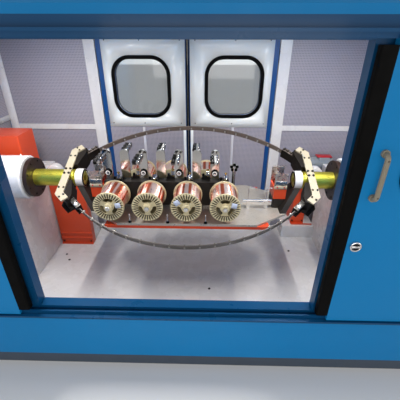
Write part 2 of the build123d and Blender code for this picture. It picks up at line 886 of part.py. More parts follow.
# Cradle ends: a tapered arm from the plate up to each hub, and a stand for the end bracket.
hub_far = hub_near + hub_length
arm_top = axis_height - end_top_drop
with BuildPart() as cradle_ends:
    for side in (-1, 1):
        with BuildSketch(Plane.XY.offset(plate_top)):
            with Locations((side * (plate_end_x - end_foot / 2), 0)):
                Rectangle(end_foot, 2 * plate_end_y)
        with BuildSketch(Plane.XY.offset(arm_top)):
            with Locations((side * middle(hub_near, hub_far), 0)):
                Rectangle(hub_length - 2 * end_top_inset, 2 * end_top_half)
        loft()
        with BuildSketch(Plane.XY.offset(plate_top)):
            with Locations((side * middle(bracket_box_from, plate_end_x), 0)):
                Rectangle(plate_end_x - bracket_box_from, 2 * bracket_box_half)
        extrude(amount=plate_drop + bracket_box_bottom)
    with BuildSketch(Plane.YZ.offset(-hub_far)):
        with Locations((0, axis_height)):
            Circle(hub_radius)
    extrude(amount=2 * hub_far, mode=Mode.SUBTRACT)
save(cradle_ends, "cradle_ends", rotor_middle)

# Cradle hubs that turn on the shaft stubs.
with BuildPart() as cradle_hubs:
    for side in (-1, 1):
        with BuildSketch(Plane.YZ.offset(side * middle(hub_near, hub_far) - hub_length / 2)):
            with Locations((0, axis_height)):
                Circle(hub_radius)
                Circle(stub_radius + running_clear, mode=Mode.SUBTRACT)
        extrude(amount=hub_length)
save(cradle_hubs, "cradle_hubs", rotor_middle)

# Spindle beam: a hollow box beam along the plate, with a collared spindle for each bobbin.
front_bobbins = [front_first + bobbin_pitch * number for number in range(front_count)]
rear_bobbins = [rear_first + bobbin_pitch * number for number in range(rear_count)]
bobbin_rows = [(x, -1) for x in front_bobbins] + [(x, 1) for x in rear_bobbins]
spindle_z = axis_height - bobbin_drop
spindle_end = bobbin_near + bobbin_length + collar_clear
beam_top = axis_height - beam_drop
with BuildPart() as spindle_beam:
    with BuildSketch(Plane.YZ.offset(beam_left)):
        with Locations((0, middle(plate_top, beam_top))):
            beam_high = beam_top - plate_top
            Rectangle(2 * beam_half, beam_high)
            Rectangle(2 * (beam_half - beam_wall), beam_high - 2 * beam_wall, mode=Mode.SUBTRACT)
    extrude(amount=beam_right - beam_left)
    for bobbin_x, row in bobbin_rows:
        with BuildSketch(Plane((bobbin_x, row * beam_half, spindle_z), z_dir=(0, row, 0))):
            Circle(spool_bore - running_clear)
        extrude(amount=spindle_end + collar_long - beam_half)
        with BuildSketch(Plane((bobbin_x, row * beam_half, spindle_z), z_dir=(0, row, 0))):
            Circle(collar_radius)
        extrude(amount=bobbin_near - beam_half - collar_clear)
        with BuildSketch(Plane((bobbin_x, row * spindle_end, spindle_z), z_dir=(0, row, 0))):
            Circle(collar_radius)
        extrude(amount=collar_long)
save(spindle_beam, "spindle_beam", rotor_middle)

# Tension posts: an upright plate on the beam for each bobbin, with a bar that carries its wheels.
wheel_last = wheel_first + wheel_pitch * (wheel_count - 1)
bar_end = wheel_last + wheel_radius
wheel_z = axis_height + wheel_rise
with BuildPart() as tension_posts:
    for bobbin_x, row in bobbin_rows:
        unit_x = bobbin_x + unit_shift
        post_high = unit_top + beam_drop
        with BuildSketch(upright(-unit_thick / 2)):
            with Locations((unit_x, beam_top + post_high / 2)):
                Rectangle(unit_width, post_high)
        extrude(amount=-unit_thick)
        bar_from = row * unit_thick / 2
        with BuildSketch(Plane((unit_x, bar_from, wheel_z), x_dir=(1, 0, 0), z_dir=(0, row, 0))):
            Rectangle(wheel_bar, wheel_bar)
        extrude(amount=bar_end - unit_thick / 2)
        for number in range(wheel_count):
            wheel_y = row * (wheel_first + number * wheel_pitch)
            fin_x = unit_x - fin_shift
            with BuildSketch(Plane.YZ.offset(fin_x)):
                with Locations((wheel_y, wheel_z)):
                    Rectangle(wheel_thick, fin_high)
            extrude(amount=fin_thick)
            with BuildSketch(Plane.YZ.offset(fin_x)):
                with Locations((wheel_y, wheel_z)):
                    Circle(axle_radius)
            extrude(amount=fin_shift + wheel_bar / 2 + wheel_thick + axle_radius)
        with BuildSketch(Plane((unit_x, bar_from, axis_height + pulley_rise), z_dir=(0, row, 0))):
            Circle(axle_radius)
        extrude(amount=pulley_thick + 2 * axle_radius)
    top_edges = tension_posts.edges().filter_by(Axis.Y).group_by(Axis.Z)[-1]
    fillet(top_edges, unit_corner)
save(tension_posts, "tension_posts", rotor_middle)

# Wire wheels: three on the bar of each unit and a pulley on its post.
with BuildPart() as wire_wheels:
    for bobbin_x, row in bobbin_rows:
        unit_x = bobbin_x + unit_shift
        for number in range(wheel_count):
            wheel_y = row * (wheel_first + number * wheel_pitch)
            with BuildSketch(Plane.YZ.offset(unit_x + wheel_bar / 2)):
                with Locations((wheel_y, wheel_z)):
                    Circle(wheel_radius)
                    Circle(axle_radius, mode=Mode.SUBTRACT)
            extrude(amount=wheel_thick)
        pulley_y = row * unit_thick / 2
        with BuildSketch(Plane((unit_x, pulley_y, axis_height + pulley_rise), z_dir=(0, row, 0))):
            Circle(pulley_radius)
            Circle(axle_radius, mode=Mode.SUBTRACT)
        extrude(amount=pulley_thick)
save(wire_wheels, "wire_wheels", rotor_middle)

# Guide post: a round column with a ring of small wheels that gathers the wires.
guide_z = axis_height + guide_top
with BuildPart() as guide_post:
    with BuildSketch(Plane.XY.offset(plate_top)):
        with Locations((guide_x, 0)):
            Circle(guide_radius)
    extrude(amount=plate_drop + guide_top - guide_ring / 2)
    with BuildSketch(upright(-guide_thick / 2)):
        with Locations((guide_x, guide_z)):
            Circle(guide_ring)
            with PolarLocations(guide_ring, guide_wheels, start_angle=90):
                Circle(guide_wheel)
            Circle(guide_hole, mode=Mode.SUBTRACT)
    extrude(amount=-guide_thick)
save(guide_post, "guide_post", rotor_middle)

# Wire rods: a round rod and a flat bar on two blocks, with a bent guide standing at each block.
rod_z = plate_top + rod_rise
block_xs = (middle(rod_from, rod_to) - bobbin_pitch / 4, middle(rod_from, rod_to) + bobbin_pitch / 4)
with BuildPart() as guide_rods:
    with BuildSketch(Plane.YZ.offset(rod_from)):
        with Locations((rod_y, rod_z)):
            Circle(rod_radius)
        with Locations((rod_y, rod_z - bar_high)):
            Rectangle(bar_thick, bar_high)
    extrude(amount=rod_to - rod_from)
    for block_x in block_xs:
        with BuildSketch(Plane.XY.offset(plate_top)):
            with Locations((block_x, rod_y)):
                Rectangle(bar_high, 2 * bar_thick)
        extrude(amount=rod_rise)
        with BuildLine() as hook:
            FilletPolyline(
                (block_x, rod_y, rod_z - rod_radius),
                (block_x, rod_y, rod_z + hook_rise),
                (block_x + hook_reach, rod_y, rod_z + hook_rise),
                radius=4 * hook_radius,
            )
        with BuildSketch(Plane.XY.offset(rod_z - rod_radius)):
            with Locations((block_x, rod_y)):
                Circle(hook_radius)
        sweep(path=hook.line)
save(guide_rods, "guide_rods", rotor_middle)

# End brackets: an open box on each stand, where the wires meet the hollow shaft.
box_low = axis_height + bracket_box_bottom
box_high = axis_height + bracket_box_top
with BuildPart() as end_brackets:
    for side in (-1, 1):
        box_x = side * middle(bracket_box_from, bracket_box_to)
        box_long = bracket_box_to - bracket_box_from
        with BuildSketch(Plane.XY.offset(box_low)):
            with Locations((box_x, 0)):
                Rectangle(box_long, 2 * bracket_box_half)
        extrude(amount=box_high - box_low)
        with BuildSketch(Plane.XY.offset(box_low + bracket_box_wall)):
            with Locations((box_x, 0)):
                Rectangle(box_long - 2 * bracket_box_wall, 2 * (bracket_box_half - bracket_box_wall))
        extrude(amount=box_high - box_low, mode=Mode.SUBTRACT)
save(end_brackets, "end_brackets", rotor_middle)

# Wire rollers: two cheek plates over each end bracket with two rollers between them.
with BuildPart() as wire_rollers:
    for side in (-1, 1):
        roller_x = side * middle(bracket_box_from, bracket_box_to)
        for face_y in (-bracket_box_half, bracket_box_half - roller_plate):
            with BuildSketch(upright(face_y)):
                with Locations((roller_x, middle(box_high, axis_height + roller_top))):
                    cheek_high = roller_top - bracket_box_top
                    Rectangle(bracket_box_to - bracket_box_from, cheek_high)
            extrude(amount=-roller_plate)
        with BuildSketch(upright(roller_plate - bracket_box_half)):
            with Locations((roller_x, axis_height)):
                with GridLocations(0, 2 * (roller_radius + roller_gap / 2), 1, 2):
                    Circle(roller_radius)
        extrude(amount=2 * (roller_plate - bracket_box_half))
save(wire_rollers, "wire_rollers", rotor_middle)

# Bobbins: flanged spools with kidney slots in both flanges, and the wire wound on them.
bobbin_far = bobbin_near + bobbin_length
face_in = bobbin_radius - rim_width - rim_depth
names = [f"front_{number + 1}" for number in range(front_count)]
names += [f"rear_{number + 1}" for number in range(rear_count)]
for (bobbin_x, row), name in zip(bobbin_rows, names):
    spool_plane = Plane((bobbin_x, 0, spindle_z), x_dir=(1, 0, 0), z_dir=(0, 0, 1))
    spool_axis = Axis((bobbin_x, 0, spindle_z), (0, 1, 0))
    with BuildPart() as spool:
        with BuildSketch(spool_plane):
            with BuildLine():
                Polyline(
                    (spool_bore, row * bobbin_near),
                    (bobbin_radius, row * bobbin_near),
                    (bobbin_radius, row * (bobbin_near + flange_wall)),
                    (barrel_radius, row * (bobbin_near + flange_wall)),
                    (barrel_radius, row * (bobbin_far - flange_wall)),
                    (bobbin_radius, row * (bobbin_far - flange_wall)),
                    (bobbin_radius, row * bobbin_far),
                    (bobbin_radius - rim_width, row * bobbin_far),
                    (face_in, row * (bobbin_far - rim_depth)),
                    (hub_tube + rim_depth, row * (bobbin_far - rim_depth)),
                    (hub_tube, row * bobbin_far),
                    (spool_bore, row * bobbin_far),
                    close=True,
                )
            make_face()
            with BuildLine():
                Polyline(
                    (hub_tube, row * (bobbin_near + flange_wall)),
                    (barrel_radius - barrel_wall, row * (bobbin_near + flange_wall)),
                    (barrel_radius - barrel_wall, row * (bobbin_far - flange_wall)),
                    (hub_tube, row * (bobbin_far - flange_wall)),
                    close=True,
                )
            make_face(mode=Mode.SUBTRACT)
        revolve(axis=spool_axis)
        slot_plane = Plane((bobbin_x, row * bobbin_near, spindle_z), x_dir=(1, 0, 0), z_dir=(0, row, 0))
        with BuildSketch(slot_plane) as slots:
            Circle(kidney_radius + kidney_half)
            Circle(kidney_radius - kidney_half, mode=Mode.SUBTRACT)
            with PolarLocations(kidney_radius, kidney_count, start_angle=30):
                Rectangle(3 * kidney_half, kidney_spoke, mode=Mode.SUBTRACT)
            fillet(slots.vertices(), kidney_corner)
        extrude(amount=bobbin_length, mode=Mode.SUBTRACT)
    save(spool, f"spool_{name}", rotor_middle)
    with BuildPart() as winding:
        with BuildSketch(spool_plane):
            with BuildLine():
                Polyline(
                    (barrel_radius, row * (bobbin_near + flange_wall)),
                    (winding_radius, row * (bobbin_near + flange_wall)),
                    (winding_radius, row * (bobbin_far - flange_wall)),
                    (barrel_radius, row * (bobbin_far - flange_wall)),
                    close=True,
                )
            make_face()
        revolve(axis=spool_axis)
    save(winding, f"winding_{name}", rotor_middle)
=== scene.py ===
import json
import bmesh
import bpy
import numpy as np
from mathutils import Matrix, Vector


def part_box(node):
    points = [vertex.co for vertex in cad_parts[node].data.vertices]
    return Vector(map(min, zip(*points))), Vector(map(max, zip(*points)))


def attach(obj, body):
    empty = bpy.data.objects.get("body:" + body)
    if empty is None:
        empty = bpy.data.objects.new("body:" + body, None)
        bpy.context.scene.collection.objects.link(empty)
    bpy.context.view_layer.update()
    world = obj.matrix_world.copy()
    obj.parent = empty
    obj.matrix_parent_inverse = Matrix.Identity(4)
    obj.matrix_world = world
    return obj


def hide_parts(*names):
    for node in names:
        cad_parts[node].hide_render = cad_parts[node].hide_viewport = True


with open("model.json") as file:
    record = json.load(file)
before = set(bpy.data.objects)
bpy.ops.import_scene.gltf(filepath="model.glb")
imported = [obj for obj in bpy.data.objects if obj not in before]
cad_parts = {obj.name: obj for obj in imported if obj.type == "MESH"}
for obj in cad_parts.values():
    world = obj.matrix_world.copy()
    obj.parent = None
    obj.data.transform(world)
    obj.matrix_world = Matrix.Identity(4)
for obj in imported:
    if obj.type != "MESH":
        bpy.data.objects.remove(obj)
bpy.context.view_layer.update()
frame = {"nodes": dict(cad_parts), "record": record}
nodes = frame["nodes"]
print("frame loaded:", len(nodes), "nodes")

axisHeight = 0.950      # rotor axis above the floor
rotorMiddle = 0.040     # the cradle and the bows stand this far right of the enclosure's middle
hair = 0.0003           # gap that keeps two faces from sharing a plane
sunk = -0.001           # foot of a small part, let into the face it stands on
toFront = (0, -1, 0)
quarters = [(side, half) for side in (-1, 1) for half in (-1, 1)]


def boxOf(nodeName):
    # lowest and highest corner of a node
    low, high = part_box(nodeName)
    return np.array(low), np.array(high)


def surface(points, closed=False):
    # a grid of points as one part, with quads between neighbours; each row runs round to its start, and the
    # last row joins the first where the part is closed
    rows, columns = points.shape[:2]
    row, column = np.meshgrid(np.arange(rows if closed else rows - 1), np.arange(columns), indexing="ij")
    nextRow, nextColumn = (row + 1) % rows, (column + 1) % columns
    quads = [row * columns + column, row * columns + nextColumn,
             nextRow * columns + nextColumn, nextRow * columns + column]
    return points.reshape(-1, 3), np.stack(quads, -1).reshape(-1, 4)


def turned(profile, places, axis, segments=24, wave=None):
    # each profile point (distance along the axis, radius) is carried round the axis by equal angles, and the
    # part is repeated at every place; wave(angle) multiplies the radius, which makes a hexagon or notches
    profile = np.asarray(profile, float)
    axis = np.asarray(axis, float) / np.linalg.norm(axis)
    side = np.cross(axis, (0, 0, 1) if abs(axis[2]) < 0.9 else (1, 0, 0))
    side /= np.linalg.norm(side)
    other = np.cross(axis, side)
    angle = np.linspace(0, 2 * np.pi, segments, endpoint=False)
    scale = np.ones(segments) if wave is None else wave(angle)
    ring = np.cos(angle)[:, None] * side + np.sin(angle)[:, None] * other
    points, quads = surface(profile[:, :1, None] * axis + profile[:, 1:, None] * scale[None, :, None] * ring)
    places = np.asarray(places, float).reshape(-1, 3)
    starts = np.arange(len(places)) * len(points)
    return (points[None] + places[:, None]).reshape(-1, 3), (quads[None] + starts[:, None, None]).reshape(-1, 4)


def hexagon(angle):
    # distance from a hexagon's centre to its edge at an angle, as a share of its corner radius
    turn = np.mod(angle, np.pi / 3) - np.pi / 6
    return np.cos(np.pi / 6) / np.cos(turn)


def carried(outline, path, closed=False, up=(0, 0, 1)):
    # a closed outline (across, up) stands square to the path's direction at each of its points
    path = np.asarray(path, float)
    if closed:
        ahead = np.roll(path, -1, 0) - np.roll(path, 1, 0)
    else:
        ahead = np.gradient(path, axis=0)
    ahead /= np.linalg.norm(ahead, axis=1, keepdims=True)
    across = np.cross(ahead, np.broadcast_to(np.asarray(up, float), ahead.shape))
    across /= np.linalg.norm(across, axis=1, keepdims=True)
    upward = np.cross(across, ahead)
    outline = np.asarray(outline, float)
    points = path[:, None] + outline[None, :, :1] * across[:, None] + outline[None, :, 1:] * upward[:, None]
    if not closed:
        ends = [path[[n], None].repeat(len(outline), 1) for n in (0, -1)]
        points = np.concatenate([ends[0], points, ends[1]])
    return surface(points, closed)


def roundOutline(wide, high, corner, steps=4):
    # corner arcs of a rounded rectangle, one quarter turn each, in order round it
    quarter = np.linspace(0, np.pi / 2, steps + 1)
    centres = np.array([(1, 1), (-1, 1), (-1, -1), (1, -1)]) * (wide / 2 - corner, high / 2 - corner)
    angle = quarter[None] + np.arange(4)[:, None] * np.pi / 2
    arc = corner * np.stack([np.cos(angle), np.sin(angle)], -1)
    return (centres[:, None] + arc).reshape(-1, 2)


def slab(low, high, bevel=0.0008):
    # a flat bar: a rounded outline in plan stood up between two heights, with a small bevel at both ends
    corners = np.sort(np.array([low, high], float), axis=0)
    middle, size = corners.mean(0), corners[1] - corners[0]
    half = size[2] / 2
    rings = []
    for lift, inset in ((-half, bevel), (bevel - half, 0), (half - bevel, 0), (half, bevel)):
        ring = roundOutline(size[0] - 2 * inset, size[1] - 2 * inset, bevel / 2, 1)
        rings.append(np.column_stack([ring, np.full(len(ring), lift)]))
    foot, top = (np.zeros_like(rings[0]) + (0, 0, lift) for lift in (-half, half))
    return surface(np.stack([foot, *rings, top]) + middle)


def mirroredSlabs(low, high, ways=((-1, 1), (1, 1))):
    # the same bar once for each pair of signs in X and Y
    return [slab(np.multiply(low, (*way, 1)), np.multiply(high, (*way, 1))) for way in ways]


def holedPlate(outer, hole, near, far):
    # a plate that stands in X and Z: its outline and its hole's outline at two depths, joined in a ring
    rows = [np.column_stack([outline[:, 0], np.full(len(outline), depth), outline[:, 1]])
            for outline, depth in ((outer, near), (hole, near), (hole, far), (outer, far))]
    return surface(np.stack(rows), closed=True)


def piece(name, parts, finish, body, material=None, smooth=True, shift=0.0):
    # all parts of a piece in one mesh, doubles merged, faces turned outwards
    points = np.concatenate([part[0] for part in parts]) + (shift, 0, 0)
    starts = np.cumsum([0] + [len(part[0]) for part in parts[:-1]])
    quads = np.concatenate([part[1] + start for part, start in zip(parts, starts)])
    mesh = bpy.data.meshes.new(name)
    mesh.vertices.add(len(points))
    mesh.vertices.foreach_set("co", points.astype(np.float32).ravel())
    mesh.loops.add(quads.size)
    mesh.loops.foreach_set("vertex_index", quads.astype(np.int32).ravel())
    mesh.polygons.add(len(quads))
    mesh.polygons.foreach_set("loop_start", np.arange(0, quads.size, 4, dtype=np.int32))
    mesh.update(calc_edges=True)
    shell = bmesh.new()
    shell.from_mesh(mesh)
    bmesh.ops.remove_doubles(shell, verts=shell.verts, dist=1e-6)
    bmesh.ops.dissolve_degenerate(shell, edges=shell.edges, dist=1e-7)
    bmesh.ops.recalc_face_normals(shell, faces=shell.faces)
    shell.to_mesh(mesh)
    shell.free()
    made = bpy.data.objects.new(name, mesh)
    bpy.context.scene.collection.objects.link(made)
    mesh.materials.append(material or finishes[finish])
    if smooth:
        mesh.shade_smooth()
        mesh.set_sharp_from_angle(angle=np.radians(40))
    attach(made, body)
    return made


def hungPiece(name, parts, finish, body, material=None, smooth=True):
    # a piece of the rotor, the cradle or a bobbin, worked out about X = 0 like its CAD node
    return piece(name, parts, finish, body, material, smooth, rotorMiddle)


def newMaterial(name, colour, roughness, metallic=0.0, coat=0.0, gloss=0.5):
    material = bpy.data.materials.new(name)
    material.use_nodes = True
    shader = material.node_tree.nodes["Principled BSDF"]
    values = {"Base Color": (*colour, 1), "Roughness": roughness, "Metallic": metallic, "Coat Weight": coat,
              "Coat Roughness": 0.10, "Specular IOR Level": gloss}
    for socket, value in values.items():
        shader.inputs[socket].default_value = value
    return material, material.node_tree, shader


def objectNoise(tree, scale, detail=3.0, stretch=(1, 1, 1)):
    # soft noise on the object's own coordinates, stretched where a grain runs one way
    place = tree.nodes.new("ShaderNodeTexCoord")
    mapping = tree.nodes.new("ShaderNodeMapping")
    mapping.inputs["Scale"].default_value = stretch
    noise = tree.nodes.new("ShaderNodeTexNoise")
    noise.inputs["Scale"].default_value = scale
    noise.inputs["Detail"].default_value = detail
    tree.links.new(place.outputs["Object"], mapping.inputs["Vector"])
    tree.links.new(mapping.outputs["Vector"], noise.inputs["Vector"])
    return noise.outputs["Fac"]


def objectAxes(tree):
    # the object's own X, Y and Z
    place = tree.nodes.new("ShaderNodeTexCoord")
    split = tree.nodes.new("ShaderNodeSeparateXYZ")
    tree.links.new(place.outputs["Object"], split.inputs["Vector"])
    return split.outputs


def maths(tree, operation, first, second=None):
    # one sum; each of its values is a number or a socket
    node = tree.nodes.new("ShaderNodeMath")
    node.operation = operation
    for socket, value in ((node.inputs[0], first), (node.inputs[1], second)):
        if isinstance(value, bpy.types.NodeSocket):
            tree.links.new(value, socket)
        elif value is not None:
            socket.default_value = value
    return node.outputs[0]


def ranged(tree, value, low, high, start=0.3, end=0.7):
    # a value carried from one range to another
    span = tree.nodes.new("ShaderNodeMapRange")
    for socket, limit in (("From Min", start), ("From Max", end), ("To Min", low), ("To Max", high)):
        span.inputs[socket].default_value = limit
    tree.links.new(value, span.inputs["Value"])
    return span.outputs["Result"]


def mixedColour(tree, share, first, second):
    # from the first colour, given as numbers or as a socket, to the second where the share is high
    mix = tree.nodes.new("ShaderNodeMix")
    mix.data_type = "RGBA"
    tree.links.new(share, mix.inputs["Factor"])
    if isinstance(first, bpy.types.NodeSocket):
        tree.links.new(first, mix.inputs["A"])
    else:
        mix.inputs["A"].default_value = (*first, 1)
    mix.inputs["B"].default_value = (*second, 1)
    return mix.outputs["Result"]


def drifting(tree, noise, colour, drift):
    # the colour a little darker and a little lighter with the noise
    darker, lighter = (tuple(min(1.0, value * share) for value in colour) for share in (1 - drift, 1 + drift))
    return mixedColour(tree, noise, darker, lighter)


def worn(tree, shader, tint, noise, low, high):
    # colour from a socket, and roughness between two values by a noise
    tree.links.new(tint, shader.inputs["Base Color"])
    tree.links.new(ranged(tree, noise, low, high), shader.inputs["Roughness"])


def bumped(tree, shader, height, strength, distance):
    bump = tree.nodes.new("ShaderNodeBump")
    bump.inputs["Strength"].default_value = strength
    bump.inputs["Distance"].default_value = distance
    tree.links.new(height, bump.inputs["Height"])
    tree.links.new(bump.outputs["Normal"], shader.inputs["Normal"])


def paint(name, colour, roughness=0.35, coat=0.2, drift=0.05, peel=0.05, dirt=None, gloss=0.4):
    # sprayed paint: slow drift in colour and gloss, a fine orange peel, specks and smears of dirt if asked
    material, tree, shader = newMaterial(name, colour, roughness, coat=coat, gloss=gloss)
    tint = drifting(tree, objectNoise(tree, 2.5), colour, drift)
    if dirt:
        specks = ranged(tree, objectNoise(tree, 55, 4), 0, 0.55, 0.69, 0.74)
        smears = ranged(tree, objectNoise(tree, 5, 5, (1, 3, 1)), 0, 0.18, 0.52, 0.75)
        tint = mixedColour(tree, smears, mixedColour(tree, specks, tint, dirt), dirt)
    worn(tree, shader, tint, objectNoise(tree, 9), roughness * 0.85, roughness * 1.2)
    bumped(tree, shader, objectNoise(tree, 420, 1), peel, 0.0004)
    return material


def metal(name, colour, roughness=0.25, grain=(1, 1, 1), drift=0.08, brush=0.08, stain=14, metallic=1.0):
    # bare or plated metal: fine brushed grain along one axis and slow stains in colour and gloss
    material, tree, shader = newMaterial(name, colour, roughness, metallic=metallic)
    tint = drifting(tree, objectNoise(tree, stain), colour, drift)
    worn(tree, shader, tint, objectNoise(tree, 60, 2, grain), roughness * 0.75, roughness * 1.3)
    bumped(tree, shader, objectNoise(tree, 300, 1, grain), brush, 0.0003)
    return material


def moulded(name, colour, roughness=0.5, grain=260, depth=0.1, gloss=0.4, drift=0.12):
    # moulded plastic or rubber with a fine even grain
    material, tree, shader = newMaterial(name, colour, roughness, gloss=gloss)
    tint = drifting(tree, objectNoise(tree, 30), colour, drift)
    worn(tree, shader, tint, objectNoise(tree, 18), roughness * 0.85, roughness * 1.15)
    bumped(tree, shader, objectNoise(tree, grain, 2), depth, 0.0004)
    return material


def perforated(name, sheet, hole, pitch=0.012, share=0.27):
    # sheet with rows of round holes in a dark colour that is painted shade: distance to the nearest hole centre
    # of a square grid on (x + y, z)
    material, tree, shader = newMaterial(name, sheet, 0.45)
    axes = objectAxes(tree)
    square = []
    for coordinate in (maths(tree, "ADD", axes["X"], axes["Y"]), axes["Z"]):
        cell = maths(tree, "SUBTRACT", maths(tree, "FRACT", maths(tree, "DIVIDE", coordinate, pitch)), 0.5)
        square.append(maths(tree, "MULTIPLY", cell, cell))
    distance = maths(tree, "SQRT", maths(tree, "ADD", *square))
    inHole = ranged(tree, distance, 1, 0, share - 0.06, share + 0.06)
    # the hole colour is painted shade, the dark seen through each opening
    tint = mixedColour(tree, inHole, drifting(tree, objectNoise(tree, 2.2), sheet, 0.12), hole)
    worn(tree, shader, tint, objectNoise(tree, 12), 0.38, 0.52)
    bumped(tree, shader, maths(tree, "SUBTRACT", 1, inHole), 0.25, 0.001)
    return material


def woundCopper(name, deep, paintedHighlight, roughness):
    # copper wire on a bobbin: noise that does not change along Y makes long streaks of painted highlight from
    # flange to flange
    material, tree, shader = newMaterial(name, deep, roughness, metallic=1.0)
    streak = ranged(tree, objectNoise(tree, 48, 0, (1, 0.02, 1)), 0, 1, 0.40, 0.52)
    tint = mixedColour(tree, streak, deep, paintedHighlight)
    worn(tree, shader, tint, objectNoise(tree, 30), roughness * 0.8, roughness * 1.3)
    return material


def valleyShadedCream(name, face, valley, depth):
    # flange face of a bobbin: the floor between its ribs, further in than the rim, gets a darker colour as
    # painted shade
    material, tree, shader = newMaterial(name, face, 0.42, gloss=0.4)
    height = ranged(tree, maths(tree, "ABSOLUTE", objectAxes(tree)["Y"]), 0, 1, *depth)
    worn(tree, shader, mixedColour(tree, height, valley, face), objectNoise(tree, 18), 0.36, 0.48)
    return material


def clearGlass(name, colour):
    # thin clear pane: some grey reflection, the rest seen through, with faint smears in the gloss
    material, tree, shader = newMaterial(name, colour, 0.03)
    shader.inputs["Transmission Weight"].default_value = 0.9
    shader.inputs["IOR"].default_value = 1.45
    tree.links.new(ranged(tree, objectNoise(tree, 5), 0.02, 0.06), shader.inputs["Roughness"])
    return material


# colour, roughness, then coat or grain and the rest in the order of each function above
finishes = {
    "base_steel": paint("baseSteel", (0.05, 0.07, 0.10), 0.5, 0.0),
    "white_paint": paint("whitePaint", (0.70, 0.68, 0.67), 0.26, 0.30, 0.03, 0.03, (0.40, 0.37, 0.35)),
    "orange_paint": paint("orangePaint", (0.62, 0.060, 0.014), 0.36, 0.12, 0.06),
    "dark_blue_paint": paint("darkBluePaint", (0.002, 0.060, 0.165), 0.30, 0.10, gloss=0.2),
    "door_blue_paint": paint("doorBluePaint", (0.001, 0.210, 0.520), 0.42, 0.06, 0.04, gloss=0.2),
    "grey_paint": paint("greyPaint", (0.27, 0.30, 0.33), 0.4, 0.15),
    "perforated_liner": perforated("perforatedLiner", (0.36, 0.34, 0.39), (0.13, 0.12, 0.14)),
    "window_glass": clearGlass("windowGlass", (0.72, 0.76, 0.78)),
    "seal_rubber": moulded("sealRubber", (0.002, 0.002, 0.002), 0.62, gloss=0.06),
    "handle_plastic": moulded("handlePlastic", (0.26, 0.235, 0.18), 0.42, 380, 0.06),
    "yellow_zinc": metal("yellowZinc", (0.62, 0.55, 0.07), 0.33, (1, 9, 9), 0.06, 0.04, 4, 0.88),
    "dark_flange": paint("darkFlange", (0.022, 0.011, 0.008), 0.42, 0.05, 0.25, 0.12, gloss=0.3),
    "cream_zinc": metal("creamZinc", (0.41, 0.355, 0.25), 0.50, (1, 1, 1), 0.08, 0.1, 20, 0.05),
    "clamp_black": paint("clampBlack", (0.010, 0.0075, 0.006), 0.62, 0.0, 0.3, 0.2, (0.05, 0.04, 0.03), 0.15),
    "bow_strip": moulded("bowStrip", (0.155, 0.125, 0.105), 0.34, 300, 0.08),
    "plate_steel": metal("plateSteel", (0.50, 0.46, 0.40), 0.34, (1, 10, 1), 0.03, 0.03, 5, 0.55),
    "dark_steel": paint("darkSteel", (0.016, 0.013, 0.011), 0.50, 0.05, 0.2, 0.1, gloss=0.25),
    "tension_grey": metal("tensionGrey", (0.50, 0.49, 0.48), 0.12, (1, 1, 5), 0.04, 0.03, 9),
    "chrome_wheel": metal("chromeWheel", (0.72, 0.71, 0.72), 0.12, (1, 1, 1), 0.03, 0.03),
    "roller_brass": metal("rollerBrass", (0.66, 0.60, 0.54), 0.30, (1, 1, 1), 0.06, 0.05, 8),
    "bobbin_cream": moulded("bobbinCream", (0.60, 0.52, 0.32), 0.40, 300, 0.06, drift=0.05),
    # the second copper colour is painted highlight for the streaks of shine
    "copper_wire": woundCopper("copperWire", (0.62, 0.13, 0.06), (1.0, 0.76, 0.66), 0.32),
}
slotOf = {row["node"]: row["material_slot"] for row in frame["record"]["subparts"]}
for nodeName, node in nodes.items():
    for index in range(len(node.material_slots)):
        node.material_slots[index].material = finishes[slotOf[nodeName]]

# painted shade: darker copies of the door blue and the bow strip for the rear door leaves and the front bow
shadedRearBlue = paint("shadedRearBluePaint", (0.004, 0.055, 0.200), 0.40, 0.10, 0.04, gloss=0.3)
shadedBow = moulded("shadedFrontBowStrip", (0.075, 0.064, 0.056), 0.44, 300, 0.08)
for nodeName, darker in (("rear_left_leaf", shadedRearBlue), ("rear_right_leaf", shadedRearBlue), ("front_bow", shadedBow)):
    nodes[nodeName].material_slots[0].material = darker     # painted shade: darker than the front doors and the rear bow

palePanel = paint("palePanel", (0.76, 0.79, 0.78), 0.32, 0.2, 0.03)
blackScrew = metal("blackScrew", (0.025, 0.024, 0.024), 0.38)
brightScrew = metal("brightScrew", (0.66, 0.65, 0.63), 0.2)
paleSeam = paint("paleSeam", (0.52, 0.51, 0.55), 0.4, 0.1)
redMark = paint("redMark", (0.48, 0.012, 0.02), 0.4)
brassPart = metal("brassPart", (0.55, 0.38, 0.14), 0.24, (1, 1, 1), 0.12)
wheelSteel = metal("wheelSteel", (0.36, 0.35, 0.35), 0.14, (1, 1, 1), 0.05, 0.03)
eyeletMetal = metal("eyeletMetal", (0.38, 0.36, 0.33), 0.42)
bareLabel = paint("bareLabel", (0.55, 0.62, 0.80), 0.5, 0.0, 0.02)
print("materials made:", len(bpy.data.materials))


# screws, nuts, rings and places on circles, used all over the machine; a screw or nut is (radius, height)
def screws(places, axis, radius, height, segments=12):
    # cap screws: round head with a sunk socket, closed at the foot
    floor, socket = height * 0.45, radius * 0.5
    profile = [(sunk, 0), (sunk, radius), (height * 0.85, radius), (height, radius * 0.88), (height, socket),
               (floor, socket), (floor, 0)]
    return turned(profile, places, axis, segments)


def nuts(places, axis, radius, height):
    # hexagon heads with a chamfered crown
    profile = [(sunk, 0), (sunk, radius), (height * 0.8, radius), (height, radius * 0.86), (height, 0)]
    return turned(profile, places, axis, 12, hexagon)


def ringProfile(length, inner, outer, edge=0.001):
    # closed section of a short tube with rounded outer edges
    half = length / 2
    return [(-half, inner), (-half, outer - edge), (edge - half, outer), (half - edge, outer),
            (half, outer - edge), (half, inner), (-half, inner)]


def around(x, circle, count, start=0.0):
    # places on a circle round the rotor axis
    angle = start + np.arange(count) * 2 * np.pi / count
    return np.column_stack([np.full(count, x), circle * np.cos(angle), axisHeight + circle * np.sin(angle)])


# black rubber round every window, on both faces of its leaf
gasket = {"wide": 0.030, "proud": 0.006, "lip": 0.014, "corner": 0.130, "steps": 10, "inset": 0.003}


